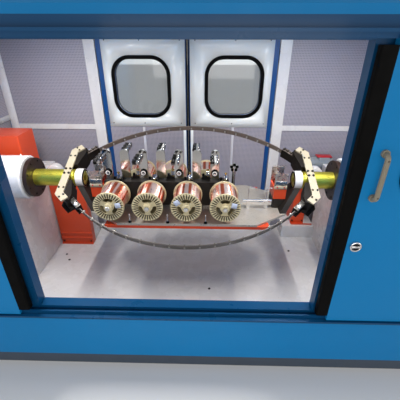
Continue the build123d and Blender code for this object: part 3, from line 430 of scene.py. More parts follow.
def windowOutline(nodeName, grow):
    # the window's outline in X and Z, from its pane's box less the lip that sits in the leaf
    low, high = boxOf(nodeName)
    wide, tall = (high - low)[[0, 2]] - 2 * gasket["lip"] + 2 * grow
    centre = (low + high)[[0, 2]] / 2
    return roundOutline(wide, tall, gasket["corner"] + grow, gasket["steps"]) + centre


def gasketBand(nodeName, faceY, facing, share=1.0):
    # a rounded band that follows the window's edge and stands a little off the leaf's face
    proud = gasket["proud"] * share
    outline = windowOutline(nodeName, gasket["wide"] / 2 - gasket["inset"])
    depth = np.full(len(outline), faceY + facing * (proud / 2 - hair))
    path = np.column_stack([outline[:, 0], depth, outline[:, 1]])
    return carried(roundOutline(gasket["wide"], proud, proud * 0.35, 2), path, closed=True, up=(0, 1, 0))


# pale sheets, seals and seams on the inner side of the rear doors
innerDoor = {
    "sheetFrom": 0.020, "top": 0.004, "outerFace": 0.790,
    "seam": (0.388, 0.410), "seamProud": 0.002, "seal": (0.0006, 0.0125), "sealProud": 0.0035,
    "screwX": (0.062, 0.385, 0.665), "screwRise": 0.034, "screw": (0.0045, 0.003),
}
leafLow, leafHigh = boxOf("rear_right_leaf")
linerLow, linerHigh = boxOf("rear_right_liner")
sheetY = (linerLow[1], linerHigh[1] - hair)


def innerSheets(side, paneName, spec):
    # a sheet with the window cut out above the liner, and a narrow strip beside the liner
    near, top = spec["sheetFrom"], linerHigh[2]
    low, high = np.array([side * near, top + 0.002]), np.array([side * linerHigh[0], leafHigh[2] - spec["top"]])
    outer = roundOutline(*np.abs(high - low), 0.0, gasket["steps"]) + (low + high) / 2
    sheet = holedPlate(outer, windowOutline(paneName, 0.0), *sheetY)
    return [sheet, *mirroredSlabs((near, sheetY[0], linerLow[2]), (linerLow[0] - hair, sheetY[1], top + 0.001),
                                  [(side, 1)])]


for side, name in ((-1, "rear_left"), (1, "rear_right")):
    body, pane, spec, face = name + "_door", name + "_window", innerDoor, sheetY[0]
    piece(name + "_sheets", innerSheets(side, pane, spec), "white_paint", body, palePanel, smooth=False)
    seam = mirroredSlabs((spec["seam"][0], face - spec["seamProud"], linerLow[2]),
                         (spec["seam"][1], face - hair, linerHigh[2]), [(side, 1)])
    piece(name + "_seam", seam, "white_paint", body, paleSeam, smooth=False)
    seal = mirroredSlabs((spec["seal"][0], leafLow[1] - spec["sealProud"], leafLow[2]),
                         (spec["seal"][1], leafLow[1] - hair, leafHigh[2]), [(side, 1)])
    piece(name + "_meetingSeal", seal, "seal_rubber", body, smooth=False)
    places = [(side * x, face, z) for z in (linerHigh[2] + spec["screwRise"], leafHigh[2] - spec["screwRise"])
              for x in spec["screwX"]]
    piece(name + "_sheetScrews", [screws(places, toFront, *spec["screw"], 10)], "dark_steel", body, blackScrew)
    bands = [gasketBand(pane, face, -1), gasketBand(pane, spec["outerFace"], 1)]
    piece(name + "_gasket", bands, "seal_rubber", body)
print("rear doors dressed")

# front doors: gaskets, handle screws and the round lock, a disc with a bar across a dark well
frontDoor = {
    "outerFace": -0.820, "innerFace": -0.780, "handleReach": 0.043, "handleFoot": 0.017,
    "gripScrews": (0.036, 0.200), "screw": (0.0042, 0.0019),
    "lockZ": 0.981, "lockRadius": 0.026, "lockProud": 0.010, "lockRim": 0.0045,
    "lockWell": 0.0195, "barHalf": 0.005, "bar": (0.0010, 0.0026), "barBevel": 0.0005,
}


for side, name in ((-1, "left_door"), (1, "right_door")):
    spec, pane = frontDoor, name + "_window"
    bands = [gasketBand(pane, spec["outerFace"], -1), gasketBand(pane, spec["innerFace"], 1, 0.5)]
    piece(name + "_gasket", bands, "seal_rubber", name)
    low, high = boxOf(name + "_handle")
    near, far = sorted([abs(low[0]), abs(high[0])])
    grips = [(side * (far - spec["handleFoot"]), spec["outerFace"] - spec["handleReach"], high[2] - drop)
             for drop in spec["gripScrews"]]
    piece(name + "_handleScrews", [screws(grips, toFront, *spec["screw"], 14)], "dark_steel", name, blackScrew)
    radius, well = spec["lockRadius"], spec["lockWell"]
    lock = np.array([side * (near + radius), spec["outerFace"] - spec["lockProud"], spec["lockZ"]])
    face = [(-0.008, 0), (-0.008, radius + 0.0008), (0.0005, radius + 0.0008), (0.002, radius - 0.001),
            (0.002, radius - spec["lockRim"]), (0.0008, radius - spec["lockRim"] - 0.0008), (0.0008, 0)]
    piece(name + "_lockFace", [turned(face, lock, toFront, 40)], "chrome_wheel", name)
    recess = [(sunk, 0), (sunk, well), (0.0012, well), (0.0012, 0)]
    piece(name + "_lockWell", [turned(recess, lock, toFront, 32)], "dark_steel", name, blackScrew)
    bar = slab(lock - (well, spec["bar"][0], spec["barHalf"]), lock + (well, -spec["bar"][1], spec["barHalf"]),
               spec["barBevel"])
    piece(name + "_lockBar", [bar], "chrome_wheel", name, smooth=False)
print("front doors dressed")


# enclosure: linings, corner posts, column feet, motor ribs, ear bolts and marks on the floor
endLining = {"low": (1.5970, -0.700, 0.101), "high": (1.5997, 0.733, 1.176)}
piece("endLinings", mirroredSlabs(**endLining), "perforated_liner", "frame", smooth=False)

corner = {"wide": 0.066, "thick": 0.010, "far": 1.594, "rear": 0.7437, "low": 0.101, "high": 1.929,
          "railFront": -0.690, "rail": (1.178, 1.222), "railThick": 0.008}


def cornerPostParts(spec):
    # an upright strip in each rear corner, and a rail along each end wall
    far, rear, inner = spec["far"], spec["rear"], spec["rear"] - spec["thick"]
    posts = mirroredSlabs((far, rear, spec["low"]), (far - spec["wide"], inner, spec["high"]))
    return posts + mirroredSlabs((far, spec["railFront"], spec["rail"][0]),
                                 (far - spec["railThick"], inner, spec["rail"][1]))


piece("cornerPosts", cornerPostParts(corner), "white_paint", "frame", smooth=False)

columnFoot = {"left": (-1.186, -0.894), "faceY": 0.372, "folds": (0.163, 0.215), "fold": 0.011,
              "screwXZ": ((-1.166, 0.128), (-0.914, 0.128)), "screw": (0.008, 0.006)}
rightFoot = ((1.003, 0.574, 0.262), (1.097, 0.574, 0.262))


def foldParts(spec):
    # half-round folds across the foot of the left column
    outline = roundOutline(spec["fold"] * 1.6, spec["fold"] * 1.8, spec["fold"] * 0.7, 3)
    return [carried(outline, [(x, spec["faceY"], z) for x in spec["left"]]) for z in spec["folds"]]


piece("columnFolds", foldParts(columnFoot), "orange_paint", "frame")
leftFoot = [(x, columnFoot["faceY"], z) for x, z in columnFoot["screwXZ"]]
heads = screws([*leftFoot, *rightFoot], toFront, *columnFoot["screw"])
piece("columnScrews", [heads], "dark_steel", "frame", blackScrew)
ledgeStrip = slab((0.994, 0.546, 0.2305), (1.190, 0.556, 0.240))     # orange lip before the raised ledge
piece("ledgeStrip", [ledgeStrip], "orange_paint", "frame", smooth=False)

# cooling ribs, equal rings along the motor's drum, and a red strip on top of it
motorTrim = {"x": (1.140, 1.300, 13), "y": 0.688, "z": 0.812, "inner": 0.0535, "outer": 0.0585, "thick": 0.0032,
             "strip": ((1.165, 0.652), (1.298, 0.724)), "stripHigh": 0.0065}
rib = ringProfile(motorTrim["thick"], motorTrim["inner"], motorTrim["outer"])
ribPlaces = [(x, motorTrim["y"], motorTrim["z"]) for x in np.linspace(*motorTrim["x"])]
piece("motorRibs", [turned(rib, ribPlaces, (1, 0, 0), 40)], "grey_paint", "frame")
motorTop = boxOf("gear_motor")[1][2]
mark = slab((*motorTrim["strip"][0], motorTop), (*motorTrim["strip"][1], motorTop + motorTrim["stripHigh"]))
piece("motorMark", [mark], "orange_paint", "frame", redMark, smooth=False)

earBolt = {"x": 1.190, "y": 0.181, "z": 0.902, "washer": (0.021, 0.003), "nut": (0.0145, 0.010),
           "nippleX": 1.125, "nippleZ": 1.104}


def housingParts(spec):
    # a washer and a hexagon bolt in each ear, and a grease nipple on top of each drum
    radius, high = spec["washer"]
    washer = [(-0.006, 0), (-0.006, radius), (0.002, radius), (high, radius - 0.001), (high, 0)]
    nipple = [(-0.003, 0), (-0.003, 0.006), (0.004, 0.006), (0.006, 0.0035), (0.013, 0.0035), (0.016, 0.0055),
              (0.019, 0.003), (0.019, 0)]
    parts = []
    for side in (-1, 1):
        ears = np.array([(side * spec["x"], front * spec["y"], spec["z"]) for front in (-1, 1)])
        parts += [turned(washer, ears, (-side, 0, 0), 28),
                  nuts(ears - (side * high, 0, 0), (-side, 0, 0), *spec["nut"]),
                  turned(nipple, (side * spec["nippleX"], 0, spec["nippleZ"]), (0, 0, 1), 14)]
    return parts


piece("housingBolts", housingParts(earBolt), "white_paint", "frame")
floorPlug = {"places": ((-1.083, 0.200, 0.1), (-1.030, 0.124, 0.1), (0.930, 0.300, 0.1), (0.2, -0.2, 0.1)),
             "screw": (0.010, 0.003)}
plugs = screws(floorPlug["places"], (0, 0, 1), *floorPlug["screw"])
piece("floorPlugs", [plugs], "dark_steel", "frame", blackScrew)
print("enclosure dressed")


# rotor details, in the tilted plane that the bows lie on
tilt = np.radians(66)
outOfPlane = np.array([0, -np.cos(tilt), np.sin(tilt)])
outward = np.array([0, np.sin(tilt), np.cos(tilt)])
diagonal = np.sqrt(0.5)     # sine and cosine of the 45 degrees of the bows' tails and the cranked bars


def bowPoints(x, reach, lift=0.0):
    # from the bows' plane to the frame: x along the axis, reach away from it, lift off the plane
    x, reach, lift = np.broadcast_arrays(x, reach, lift)
    points = reach[..., None] * outward + lift[..., None] * outOfPlane
    points[..., 0] += x
    points[..., 2] += axisHeight
    return points


bracketScrews = {"barX": 0.847, "bend": 0.200, "face": 0.070, "across": 0.0155, "shaftRow": 0.021,
                 "armRow": 0.150, "tipRow": 0.030, "shaftRadius": 0.0085, "armRadius": 0.0068, "headShare": 0.7,
                 "tipHead": 0.004}


def bracketScrewParts(spec, seat):
    # four large screws over the shaft, a pair on each arm and a pair on each cranked tip
    parts = []
    rows = ((spec["shaftRow"], spec["shaftRadius"]), (spec["armRow"], spec["armRadius"]))
    wide = np.array([-1, 1]) * spec["across"]
    along, over = spec["tipRow"] * diagonal, wide * diagonal
    for side, half in quarters:
        for row, radius in rows:
            places = bowPoints(side * spec["barX"] + wide, half * row, seat * spec["face"])
            parts.append(screws(places, seat * outOfPlane, radius, radius * spec["headShare"]))
        places = bowPoints(side * (spec["barX"] - along + over), half * (spec["bend"] + along + over),
                           seat * spec["face"])
        parts.append(screws(places, seat * outOfPlane, spec["armRadius"], spec["tipHead"]))
    return parts


hungPiece("bracketScrews", bracketScrewParts(bracketScrews, 1), "clamp_black", "rotor", blackScrew)
hungPiece("counterBarScrews", bracketScrewParts(bracketScrews, -1), "clamp_black", "rotor", blackScrew)

bowForm = {"peak": 0.556, "endX": 0.705, "endReach": 0.285, "thick": 0.006, "eyelets": 17,
           "eyeletRadius": 0.0065, "eyeletWall": 0.0022, "eyeletLength": 0.010, "lugRise": 0.0035}
bowRise = bowForm["peak"] - bowForm["endReach"]
bowRadius = (bowForm["endX"] ** 2 + bowRise ** 2) / (2 * bowRise)     # of the circle through peak and ends


def eyeletParts(spec):
    # a round lip on a small lug under the strip, at equal angles along each bow
    parts = []
    limit = np.arcsin(spec["endX"] / bowRadius) * 0.96
    eyelet = spec["eyeletRadius"]
    ring = ringProfile(spec["eyeletLength"], eyelet * 0.7, eyelet + spec["eyeletWall"])
    inner = bowRadius - spec["thick"] / 2 - eyelet
    for angle in np.linspace(-limit, limit, spec["eyelets"]):
        for half in (-1, 1):
            centre = bowPoints(inner * np.sin(angle), half * (spec["peak"] - bowRadius + inner * np.cos(angle)))
            direction = np.array([np.cos(angle), 0, 0]) - np.sin(angle) * half * outward
            away = np.array([np.sin(angle), 0, 0]) + np.cos(angle) * half * outward
            parts.append(turned(ring, centre, direction, 12))
            ends = [centre + away * eyelet * 0.9, centre + away * (eyelet + spec["thick"] + spec["lugRise"])]
            parts.append(carried(roundOutline(0.010, 0.016, 0.002, 1), ends, up=outOfPlane))
    return parts


hungPiece("bowEyelets", eyeletParts(bowForm), "chrome_wheel", "rotor", eyeletMetal)


def alongTail(side, half, distance, lift):
    # point on the straight end of a bow, distance from the arc's end and height above the strip's middle
    x = bowForm["endX"] + diagonal * (distance + lift)
    reach = bowForm["endReach"] + diagonal * (lift - distance)
    return bowPoints(side * x, half * reach)


bowPads = {"ends": (0.020, 0.086), "wide": 0.032, "thick": 0.005, "rows": (0.034, 0.072),
           "screw": (0.0045, 0.003)}


def padParts(spec):
    # a flat pad on the outer side of each bow end, and two screws through each
    pads, heads = [], []
    outline = roundOutline(spec["thick"], spec["wide"], 0.001, 1)
    middle = bowForm["thick"] / 2 + spec["thick"] / 2
    for side, half in quarters:
        path = [alongTail(side, half, distance, middle) for distance in spec["ends"]]
        pads.append(carried(outline, path, up=outOfPlane))
        normal = (np.array([side, 0, 0]) + half * outward) * diagonal
        places = [alongTail(side, half, distance, middle + spec["thick"] / 2) for distance in spec["rows"]]
        heads.append(screws(places, normal, *spec["screw"], 10))
    return pads, heads


pads, heads = padParts(bowPads)
hungPiece("bowPads", pads, "bow_strip", "rotor", smooth=False)
hungPiece("bowPadScrews", heads, "clamp_black", "rotor", blackScrew)

clampTrim = {"face": 0.0338, "thick": 0.0040, "ends": (0.002, 0.088), "strip": 0.010, "offset": 0.011,
             "plate": 0.034, "rows": (0.012, 0.044, 0.076), "screw": (0.0042, 0.003)}


def clampStripParts(spec, half, wide, offsets):
    # strips laid along the tail of a bow, on both flat sides of its clamp
    parts = []
    outline = roundOutline(wide, spec["thick"], 0.001, 1)
    for seat in (-1, 1):
        middle = seat * (spec["face"] + spec["thick"] / 2) * outOfPlane
        for side in (-1, 1):
            for offset in offsets:
                path = [alongTail(side, half, distance, offset) + middle for distance in spec["ends"]]
                parts.append(carried(outline, path, up=outOfPlane))
    return parts


def clampScrewParts(spec):
    # three screws through each lip of each clamp, seen on both flat sides
    parts = []
    for seat in (-1, 1):
        top = seat * (spec["face"] + spec["thick"]) * outOfPlane
        places = [alongTail(*quarter, distance, lift) + top for quarter in quarters
                  for distance in spec["rows"] for lift in (-spec["offset"], spec["offset"])]
        parts.append(screws(places, seat * outOfPlane, *spec["screw"], 10))
    return parts


rearStrips = clampStripParts(clampTrim, 1, clampTrim["strip"], (-clampTrim["offset"], clampTrim["offset"]))
hungPiece("clampStrips", rearStrips, "bow_strip", "rotor", smooth=False)
frontPlates = clampStripParts(clampTrim, -1, clampTrim["plate"], (0.0,))
hungPiece("clampPlates", frontPlates, "chrome_wheel", "rotor", eyeletMetal, smooth=False)
hungPiece("clampScrews", clampScrewParts(clampTrim), "clamp_black", "rotor", blackScrew)

flangeTrim = {"far": boxOf("rotor_flanges")[1][0], "thick": 0.028, "circle": (0.118, 8, 0.3),
              "screw": (0.0075, 0.003), "nut": (0.0075, 0.006)}


def flangeScrewParts(spec):
    # a circle of screws near the rim on the inner face, and their nuts on the outer face
    parts = []
    for side in (-1, 1):
        near, far = (around(side * x, *spec["circle"]) for x in (spec["far"] - spec["thick"], spec["far"]))
        parts += [screws(near, (-side, 0, 0), *spec["screw"]), nuts(far, (side, 0, 0), *spec["nut"])]
    return parts


piece("flangeScrews", flangeScrewParts(flangeTrim), "dark_flange", "rotor", blackScrew)
print("rotor details made")


# bobbins: ribbed flange faces, wound wire, bare labels and the nuts of their spindles
bobbins = {
    "frontX": (-0.500, -0.250, 0.000, 0.250), "rearX": (-0.375, -0.125, 0.125), "height": 0.880,
    "near": 0.100, "far": 0.300, "wall": 0.012, "recess": 0.005, "barrel": 0.068, "wound": 0.0885,
    "ribs": 32, "ribFrom": 0.0600, "ribTo": 0.0965, "turns": 36, "wire": 0.0011,
}
# the second colour is painted shade for the floor between the ribs
valleyShadedRibCream = valleyShadedCream("valleyShadedCream", (0.68, 0.60, 0.38), (0.085, 0.066, 0.038), (0.3004, 0.3012))
bobbinRows = [(x, -1, f"front_{n + 1}") for n, x in enumerate(bobbins["frontX"])]
bobbinRows += [(x, 1, f"rear_{n + 1}") for n, x in enumerate(bobbins["rearX"])]


def roundBobbin(x, y, radius, angle):
    # points round a bobbin's own axis, which runs along Y
    points = (x + radius * np.cos(angle), y, bobbins["height"] + radius * np.sin(angle))
    return np.stack(np.broadcast_arrays(*points), -1)


def ribbedRing(x, row, spec):
    # a flat ring in the flange's recess whose face rises and falls with the angle: valley height plus
    # rib height times a soft square wave
    angle = np.linspace(0, 2 * np.pi, spec["ribs"] * 6, endpoint=False)
    wave = np.clip(2.2 * np.sin(angle * spec["ribs"]) + 0.5, -1, 1) * 0.5 + 0.5
    start, end, step = spec["ribFrom"], spec["ribTo"], spec["recess"]
    rows = np.array([
        (start, sunk, 0), (start, hair, 0), (start + 0.0012, hair, step + 0.0012),
        (0.0845, hair, step + 0.0015), (0.0905, step + hair, 0.0015), (end, step + hair, 0.0015),
        (end + 0.001, step + 0.0002, 0), (end + 0.001, sunk, 0),
    ])
    radius, valley, rib = (rows[:, n, None] for n in range(3))
    depth = spec["far"] - step + valley + rib * wave
    return surface(roundBobbin(x, row * depth, radius, angle), closed=True)


def woundWire(x, row, spec):
    # wire turns side by side: the radius bulges by a half circle over each turn; it also swells and sinks a
    # little with the angle, which breaks the shine into long streaks
    low, high = spec["near"] + spec["wall"] + hair, spec["far"] - spec["wall"] - hair
    along = np.linspace(0, 1, spec["turns"] * 3 + 1)
    bulge = np.sqrt(np.clip(1 - (np.mod(along * spec["turns"], 1) * 2 - 1) ** 2, 0, 1)) * spec["wire"]
    uneven = 0.0010 + 0.0005 * np.sin(along * 5 + x * 20)
    angle = np.linspace(0, 2 * np.pi, 108, endpoint=False)
    streak = 0.0005 * np.sin(7 * angle + x * 31) + 0.0002 * np.sin(17 * angle + x * 13)
    radius = (spec["wound"] + bulge + uneven)[:, None] + streak
    inner = np.full((1, len(angle)), spec["barrel"] + hair)
    depth = np.concatenate([[low], low + (high - low) * along, [high]])[:, None]
    return surface(roundBobbin(x, row * depth, np.concatenate([inner, radius, inner]), angle), closed=True)


for bobbinX, row, label in bobbinRows:
    body = "bobbin_" + label
    hungPiece("flangeRibs_" + label, [ribbedRing(bobbinX, row, bobbins)], "bobbin_cream", body, valleyShadedRibCream)
    wound = hungPiece("woundWire_" + label, [woundWire(bobbinX, row, bobbins)], "copper_wire", body)
    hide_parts("winding_" + label)

# bare pale stickers on three bobbins: place in the row, offset from the centre and turn in degrees
stickers = {"size": 0.036, "thick": 0.0012,
            "places": ((0, 0.061, 0.012, 8), (2, -0.058, 0.036, 35), (3, 0.057, 0.020, -12))}


def stickerParts(number, offsetX, offsetZ, degrees, spec):
    # a thin rounded square, turned about its middle
    cos, sin = np.cos(np.radians(degrees)), np.sin(np.radians(degrees))
    corners = roundOutline(spec["size"], spec["size"], 0.002, 3) @ np.array([[cos, sin], [-sin, cos]])
    centreX = bobbinRows[number][0] + offsetX
    face = -bobbins["far"] - 0.0012     # on the ribs' crests
    far = face - spec["thick"]
    rows = [np.column_stack([centreX + outline[:, 0], np.full(len(outline), depth),
                             bobbins["height"] + offsetZ + outline[:, 1]])
            for outline, depth in ((corners * 0, face), (corners, face), (corners, far), (corners * 0, far))]
    return [surface(np.stack(rows))]


for place in stickers["places"]:
    label, parts = bobbinRows[place[0]][2], stickerParts(*place, stickers)
    hungPiece("sticker_" + label, parts, "white_paint", "bobbin_" + label, bareLabel, smooth=False)


def besideBobbins(across, along, height):
    # the same place beside every bobbin, as seen from its row
    return [(x + across, row * along, height) for x, row, label in bobbinRows]


spindle = {"end": 0.317, "nut": (0.017, 0.012)}
collar = [(-0.0172, 0), (-0.0172, 0.0255), (0.0005, 0.0255), (0.0015, 0.0245), (0.0015, 0)]
ends = [(place, (0, np.sign(place[1]), 0)) for place in besideBobbins(0, spindle["end"], bobbins["height"])]
nutParts = [nuts(place, axis, *spindle["nut"]) for place, axis in ends]
hungPiece("spindleNuts", nutParts, "chrome_wheel", "cradle", brightScrew)
collars = [turned(collar, place, axis, 32) for place, axis in ends]
hungPiece("spindleCollars", collars, "bobbin_cream", "cradle")
print("bobbins dressed")


# tension units on the cradle: three wheels with brake discs and one pulley beside every bobbin
units = {
    "shift": -0.065, "wheelHeight": 1.140, "wheelY": (0.070, 0.120, 0.170), "wheelRadius": 0.017,
    "wheelThick": 0.009, "barHalf": 0.007, "finRadius": 0.0195, "finThick": 0.0025, "finCore": 0.008, "fins": 4,
    "finPitch": 0.0065, "pulleyHeight": 1.000, "pulleyNear": 0.010,
}


def unitPlaces(spec):
    # centres of the three wheels of every unit
    return np.concatenate([besideBobbins(spec["shift"], y, spec["wheelHeight"]) for y in spec["wheelY"]])


def wheelRimParts(spec):
    # a grooved rim round each wheel: two lips with a round valley for the wire between them, and a low boss
    radius, thick = spec["wheelRadius"], spec["wheelThick"]
    lip = ((0, 0.0030), (0.12, 0.0036), (0.25, 0.0030))
    groove = [*lip, (0.5, 0.0008), *[(1 - share, rise) for share, rise in lip[::-1]]]
    rim = [(0, 0)] + [(thick * share, radius + rise) for share, rise in groove]
    rim += [(thick, radius * 0.8), (thick + 0.0025, radius * 0.62), (thick + 0.0025, 0)]
    return [turned(rim, unitPlaces(spec) + (spec["barHalf"], 0, 0), (1, 0, 0), 20)]


def notched(angle):
    # a disc with six shallow notches
    return 1 - 0.10 * (np.sin(angle * 6) > 0)


def finParts(spec):
    # a stack of thin black discs behind every wheel
    radius, pitch, core = spec["finRadius"], spec["finPitch"], spec["finCore"]
    profile = [(0, radius), (-spec["finThick"], radius), (-spec["finThick"], core), (-pitch, core)]
    stack = [(x - pitch * number, away) for number in range(spec["fins"]) for x, away in profile]
    stack = [(0, 0), *stack, (-pitch * spec["fins"], 0)]
    return [turned(stack, unitPlaces(spec) + (sunk - spec["barHalf"], 0, 0), (1, 0, 0), 24, notched)]


hungPiece("wheelRims", wheelRimParts(units), "chrome_wheel", "cradle", wheelSteel)
hungPiece("brakeFins", finParts(units), "dark_steel", "cradle", blackScrew)

pulleyLayers = {
    "pulleyDiscs": ("dark_steel", finishes["seal_rubber"],
                    [(0.0005, 0), (0.0005, 0.0225), (0.004, 0.0245), (0.007, 0.0215), (0.010, 0.0245),
                     (0.0145, 0.0225), (0.0145, 0)]),
    "pulleyRings": ("white_paint", finishes["white_paint"],
                    [(0.0140, 0.0095), (0.0165, 0.0105), (0.0170, 0.0135), (0.0165, 0.0165), (0.0140, 0.0175),
                     (0.0140, 0.0095)]),
    "pulleyHubs": ("chrome_wheel", brightScrew,
                   [(0.0140, 0), (0.0140, 0.006), (0.0230, 0.006), (0.0240, 0.005), (0.0240, 0)]),
}
for name, (finish, material, profile) in pulleyLayers.items():
    places = besideBobbins(units["shift"], units["pulleyNear"], units["pulleyHeight"])
    parts = [turned(profile, place, (0, np.sign(place[1]), 0)) for place in places]
    hungPiece(name, parts, finish, "cradle", material)

# a brass guide with a coil spring, and a black clamp block with a round stop, on the beam beside every unit
springGuide = {"shift": 0.012, "y": 0.032, "height": 0.960, "stem": 0.004, "long": 0.040, "coil": 0.0115,
               "wire": 0.0019, "turns": 5}
unitBase = {"x": (-0.030, 0.034), "y": (0.014, 0.050), "z": (0.9423, 0.9600), "stopX": -0.020,
            "stopHigh": 0.016}


def springParts(spec):
    # a helix: the angle grows evenly while the height climbs
    angle = np.linspace(0, 2 * np.pi * spec["turns"], spec["turns"] * 12)
    wire = roundOutline(2 * spec["wire"], 2 * spec["wire"], spec["wire"] * 0.98, 1)
    height = spec["height"] + 0.004 + (spec["long"] - 0.010) * angle / angle[-1]
    coil = np.column_stack([spec["coil"] * np.cos(angle), spec["coil"] * np.sin(angle), height])
    return [carried(wire, coil + place) for place in besideBobbins(spec["shift"], spec["y"], 0)]


def springStemParts(spec):
    stem, top = spec["stem"], spec["long"]
    profile = [(sunk, 0), (sunk, 0.013), (0.004, 0.013), (0.004, stem), (top, stem), (top + 0.004, 0.010),
               (top + 0.010, 0.010), (top + 0.012, 0.007), (top + 0.012, 0)]
    return [turned(profile, besideBobbins(spec["shift"], spec["y"], spec["height"]), (0, 0, 1), 16)]


def unitBaseParts(spec):
    # the block, and the stop near its end
    lows, highs = (besideBobbins(*corner) for corner in zip(spec["x"], spec["y"], spec["z"]))
    high = spec["stopHigh"]
    stop = [(sunk, 0), (sunk, 0.009), (high, 0.009), (high + 0.002, 0.006), (high + 0.002, 0)]
    stops = turned(stop, besideBobbins(spec["stopX"], np.mean(spec["y"]), spec["z"][1]), (0, 0, 1), 16)
    return [*map(slab, lows, highs), stops]


hungPiece("unitBases", unitBaseParts(unitBase), "dark_steel", "cradle", blackScrew)
hungPiece("unitSprings", springParts(springGuide), "chrome_wheel", "cradle")
hungPiece("unitStems", springStemParts(springGuide), "roller_brass", "cradle", brassPart)

# bright pins with rubber feet along the front edge of the cradle's plate
edgePin = {"x": (-0.375, -0.125, 0.125), "y": -0.288, "plateTop": 0.760,
           "pin": (0.010, 0.058, 0.062, 0.0045), "foot": (hair, 0.006, 0.012, 0.011)}


def pinProfile(start, shoulder, end, radius):
    # a round peg between two heights that narrows above its shoulder
    return [(start, 0), (start, radius), (shoulder, radius), (end, radius * 0.6), (end, 0)]


pinPlaces = [(x, edgePin["y"], edgePin["plateTop"]) for x in edgePin["x"]]
pins = turned(pinProfile(*edgePin["pin"]), pinPlaces, (0, 0, 1), 14)
feet = turned(pinProfile(*edgePin["foot"]), pinPlaces, (0, 0, 1), 16)
hungPiece("edgePins", [pins], "chrome_wheel", "cradle")
hungPiece("edgePinFeet", [feet], "dark_steel", "cradle", finishes["seal_rubber"])

guideWheels = {"x": 0.320, "height": 1.042, "ring": 0.020, "count": 5, "radius": 0.0118, "thick": 0.020}


def guideWheelParts(spec):
    # five small rubber wheels at equal angles round the head of the guide post
    half, radius = spec["thick"] / 2, spec["radius"]
    profile = [(-half, 0), (-half, radius), (-half * 0.4, radius * 0.8), (half * 0.4, radius * 0.8),
               (half, radius), (half, radius * 0.4), (half + 0.002, radius * 0.35), (half + 0.002, 0)]
    angle = np.pi / 2 + np.arange(spec["count"]) * 2 * np.pi / spec["count"]
    places = np.column_stack([spec["x"] + spec["ring"] * np.cos(angle), np.zeros(len(angle)),
                              spec["height"] + spec["ring"] * np.sin(angle)])
    return [turned(profile, places, (0, 1, 0), 16)]


hungPiece("guideWheels", guideWheelParts(guideWheels), "dark_steel", "cradle", finishes["seal_rubber"])

hubTrim = {"inner": 0.742, "proud": 0.006, "ring": (0.0505, 0.061), "circle": (0.056, 6),
           "screw": (0.0035, 0.003)}


def hubRingParts(spec):
    # a dark cover ring on the inner face of each hub, held by small screws
    inner, outer, face = *spec["ring"], -spec["proud"]
    ring = [(hair, inner), (-0.004, inner), (face, inner + 0.002), (face, outer - 0.002), (-0.004, outer),
            (hair, outer), (hair, inner)]
    parts = []
    for side in (-1, 1):
        parts.append(turned(ring, (side * spec["inner"], 0, axisHeight), (side, 0, 0), 40))
        places = around(side * (spec["inner"] - spec["proud"]), *spec["circle"])
        parts.append(screws(places, (-side, 0, 0), *spec["screw"], 10))
    return parts


hungPiece("hubRings", hubRingParts(hubTrim), "dark_steel", "cradle", finishes["clamp_black"])

# end brackets: a pale strip with screws over each box, and a comb of bright tines that spreads the wires
endBracket = {
    "half": 0.070, "stripX": (0.600, 0.686), "stripZ": (0.910, 0.936), "stripThick": 0.004,
    "screwX": (-0.618, -0.668, 0.618, 0.668), "screwZ": 0.925, "screw": (0.0055, 0.004),
    "barX": (0.604, 0.682), "barZ": (0.948, 0.970), "barThick": 0.007,
    "tines": 15, "tineZ": (0.966, 1.034), "tineRadius": 0.0009, "tineSpan": 0.033, "lean": 0.010, "fan": 0.010,
}


def tineParts(spec):
    # a bar with equal tines that lean towards the rotor's end and fan out towards their tips
    parts = mirroredSlabs((spec["barX"][0], spec["half"] + hair, spec["barZ"][0]),
                          (spec["barX"][1], spec["half"] + spec["barThick"], spec["barZ"][1]), quarters)
    tine = roundOutline(2 * spec["tineRadius"], 2 * spec["tineRadius"], spec["tineRadius"] * 0.98, 1)
    for side, face in quarters:
        y = face * (spec["half"] + spec["barThick"] / 2)
        for share in np.linspace(-1, 1, spec["tines"]):
            x = np.mean(spec["barX"]) + share * spec["tineSpan"]
            tip = x + spec["lean"] + share * spec["fan"]
            path = [(side * x, y, spec["tineZ"][0]), (side * tip, y, spec["tineZ"][1])]
            parts.append(carried(tine, path, up=(0, 1, 0)))
    return parts


spec = endBracket
strips = mirroredSlabs((spec["stripX"][0], spec["half"] + spec["stripThick"], spec["stripZ"][0]),
                       (spec["stripX"][1], spec["half"] + hair, spec["stripZ"][1]), quarters)
hungPiece("endStrips", strips, "cream_zinc", "cradle", smooth=False)
places = [(x, -spec["half"] - spec["stripThick"], spec["screwZ"]) for x in spec["screwX"]]
hungPiece("endStripScrews", [screws(places, toFront, *spec["screw"], 10)], "dark_steel", "cradle", redMark)
hungPiece("endCombs", tineParts(endBracket), "roller_brass", "cradle", brightScrew)
print("cradle dressed")


# light: four large soft lamps round the machine and three narrow ones under its roof
lamps = {       # place, aim, size, power
    "front": ((0.3, -3.4, 1.5), (0, 0, 0.9), (2.6, 1.0), 24),
    "left": ((-3.4, -2.6, 1.6), (0.8, -0.8, 0.9), (1.6, 1.6), 20),
    "right": ((3.6, -2.4, 1.6), (-0.8, -0.8, 0.9), (1.6, 1.6), 18),
    "behind": ((0.5, 4.0, 3.0), (0, 0, 1.0), (3.0, 2.0), 34),
    "insideLeft": ((-0.86, -0.36, 1.91), (-0.86, -0.30, 0.1), (0.03, 0.7), 22),
    "insideRight": ((0.94, -0.36, 1.91), (0.94, -0.30, 0.1), (0.03, 0.7), 22),
    "insideBack": ((0.0, 0.25, 1.91), (0, 0.3, 0.0), (2.6, 0.5), 1.5),
}
lampColour = (1, 0.965, 0.93)
skyLight = {"colour": (1.0, 0.98, 0.96, 1), "strength": 0.34}


def placed(made, columns, place):
    # an object in the scene with its three axes as columns of its matrix
    bpy.context.scene.collection.objects.link(made)
    rows = [[*row, shift] for row, shift in zip(np.column_stack(columns), place)]
    made.matrix_world = Matrix([*rows, [0, 0, 0, 1]])


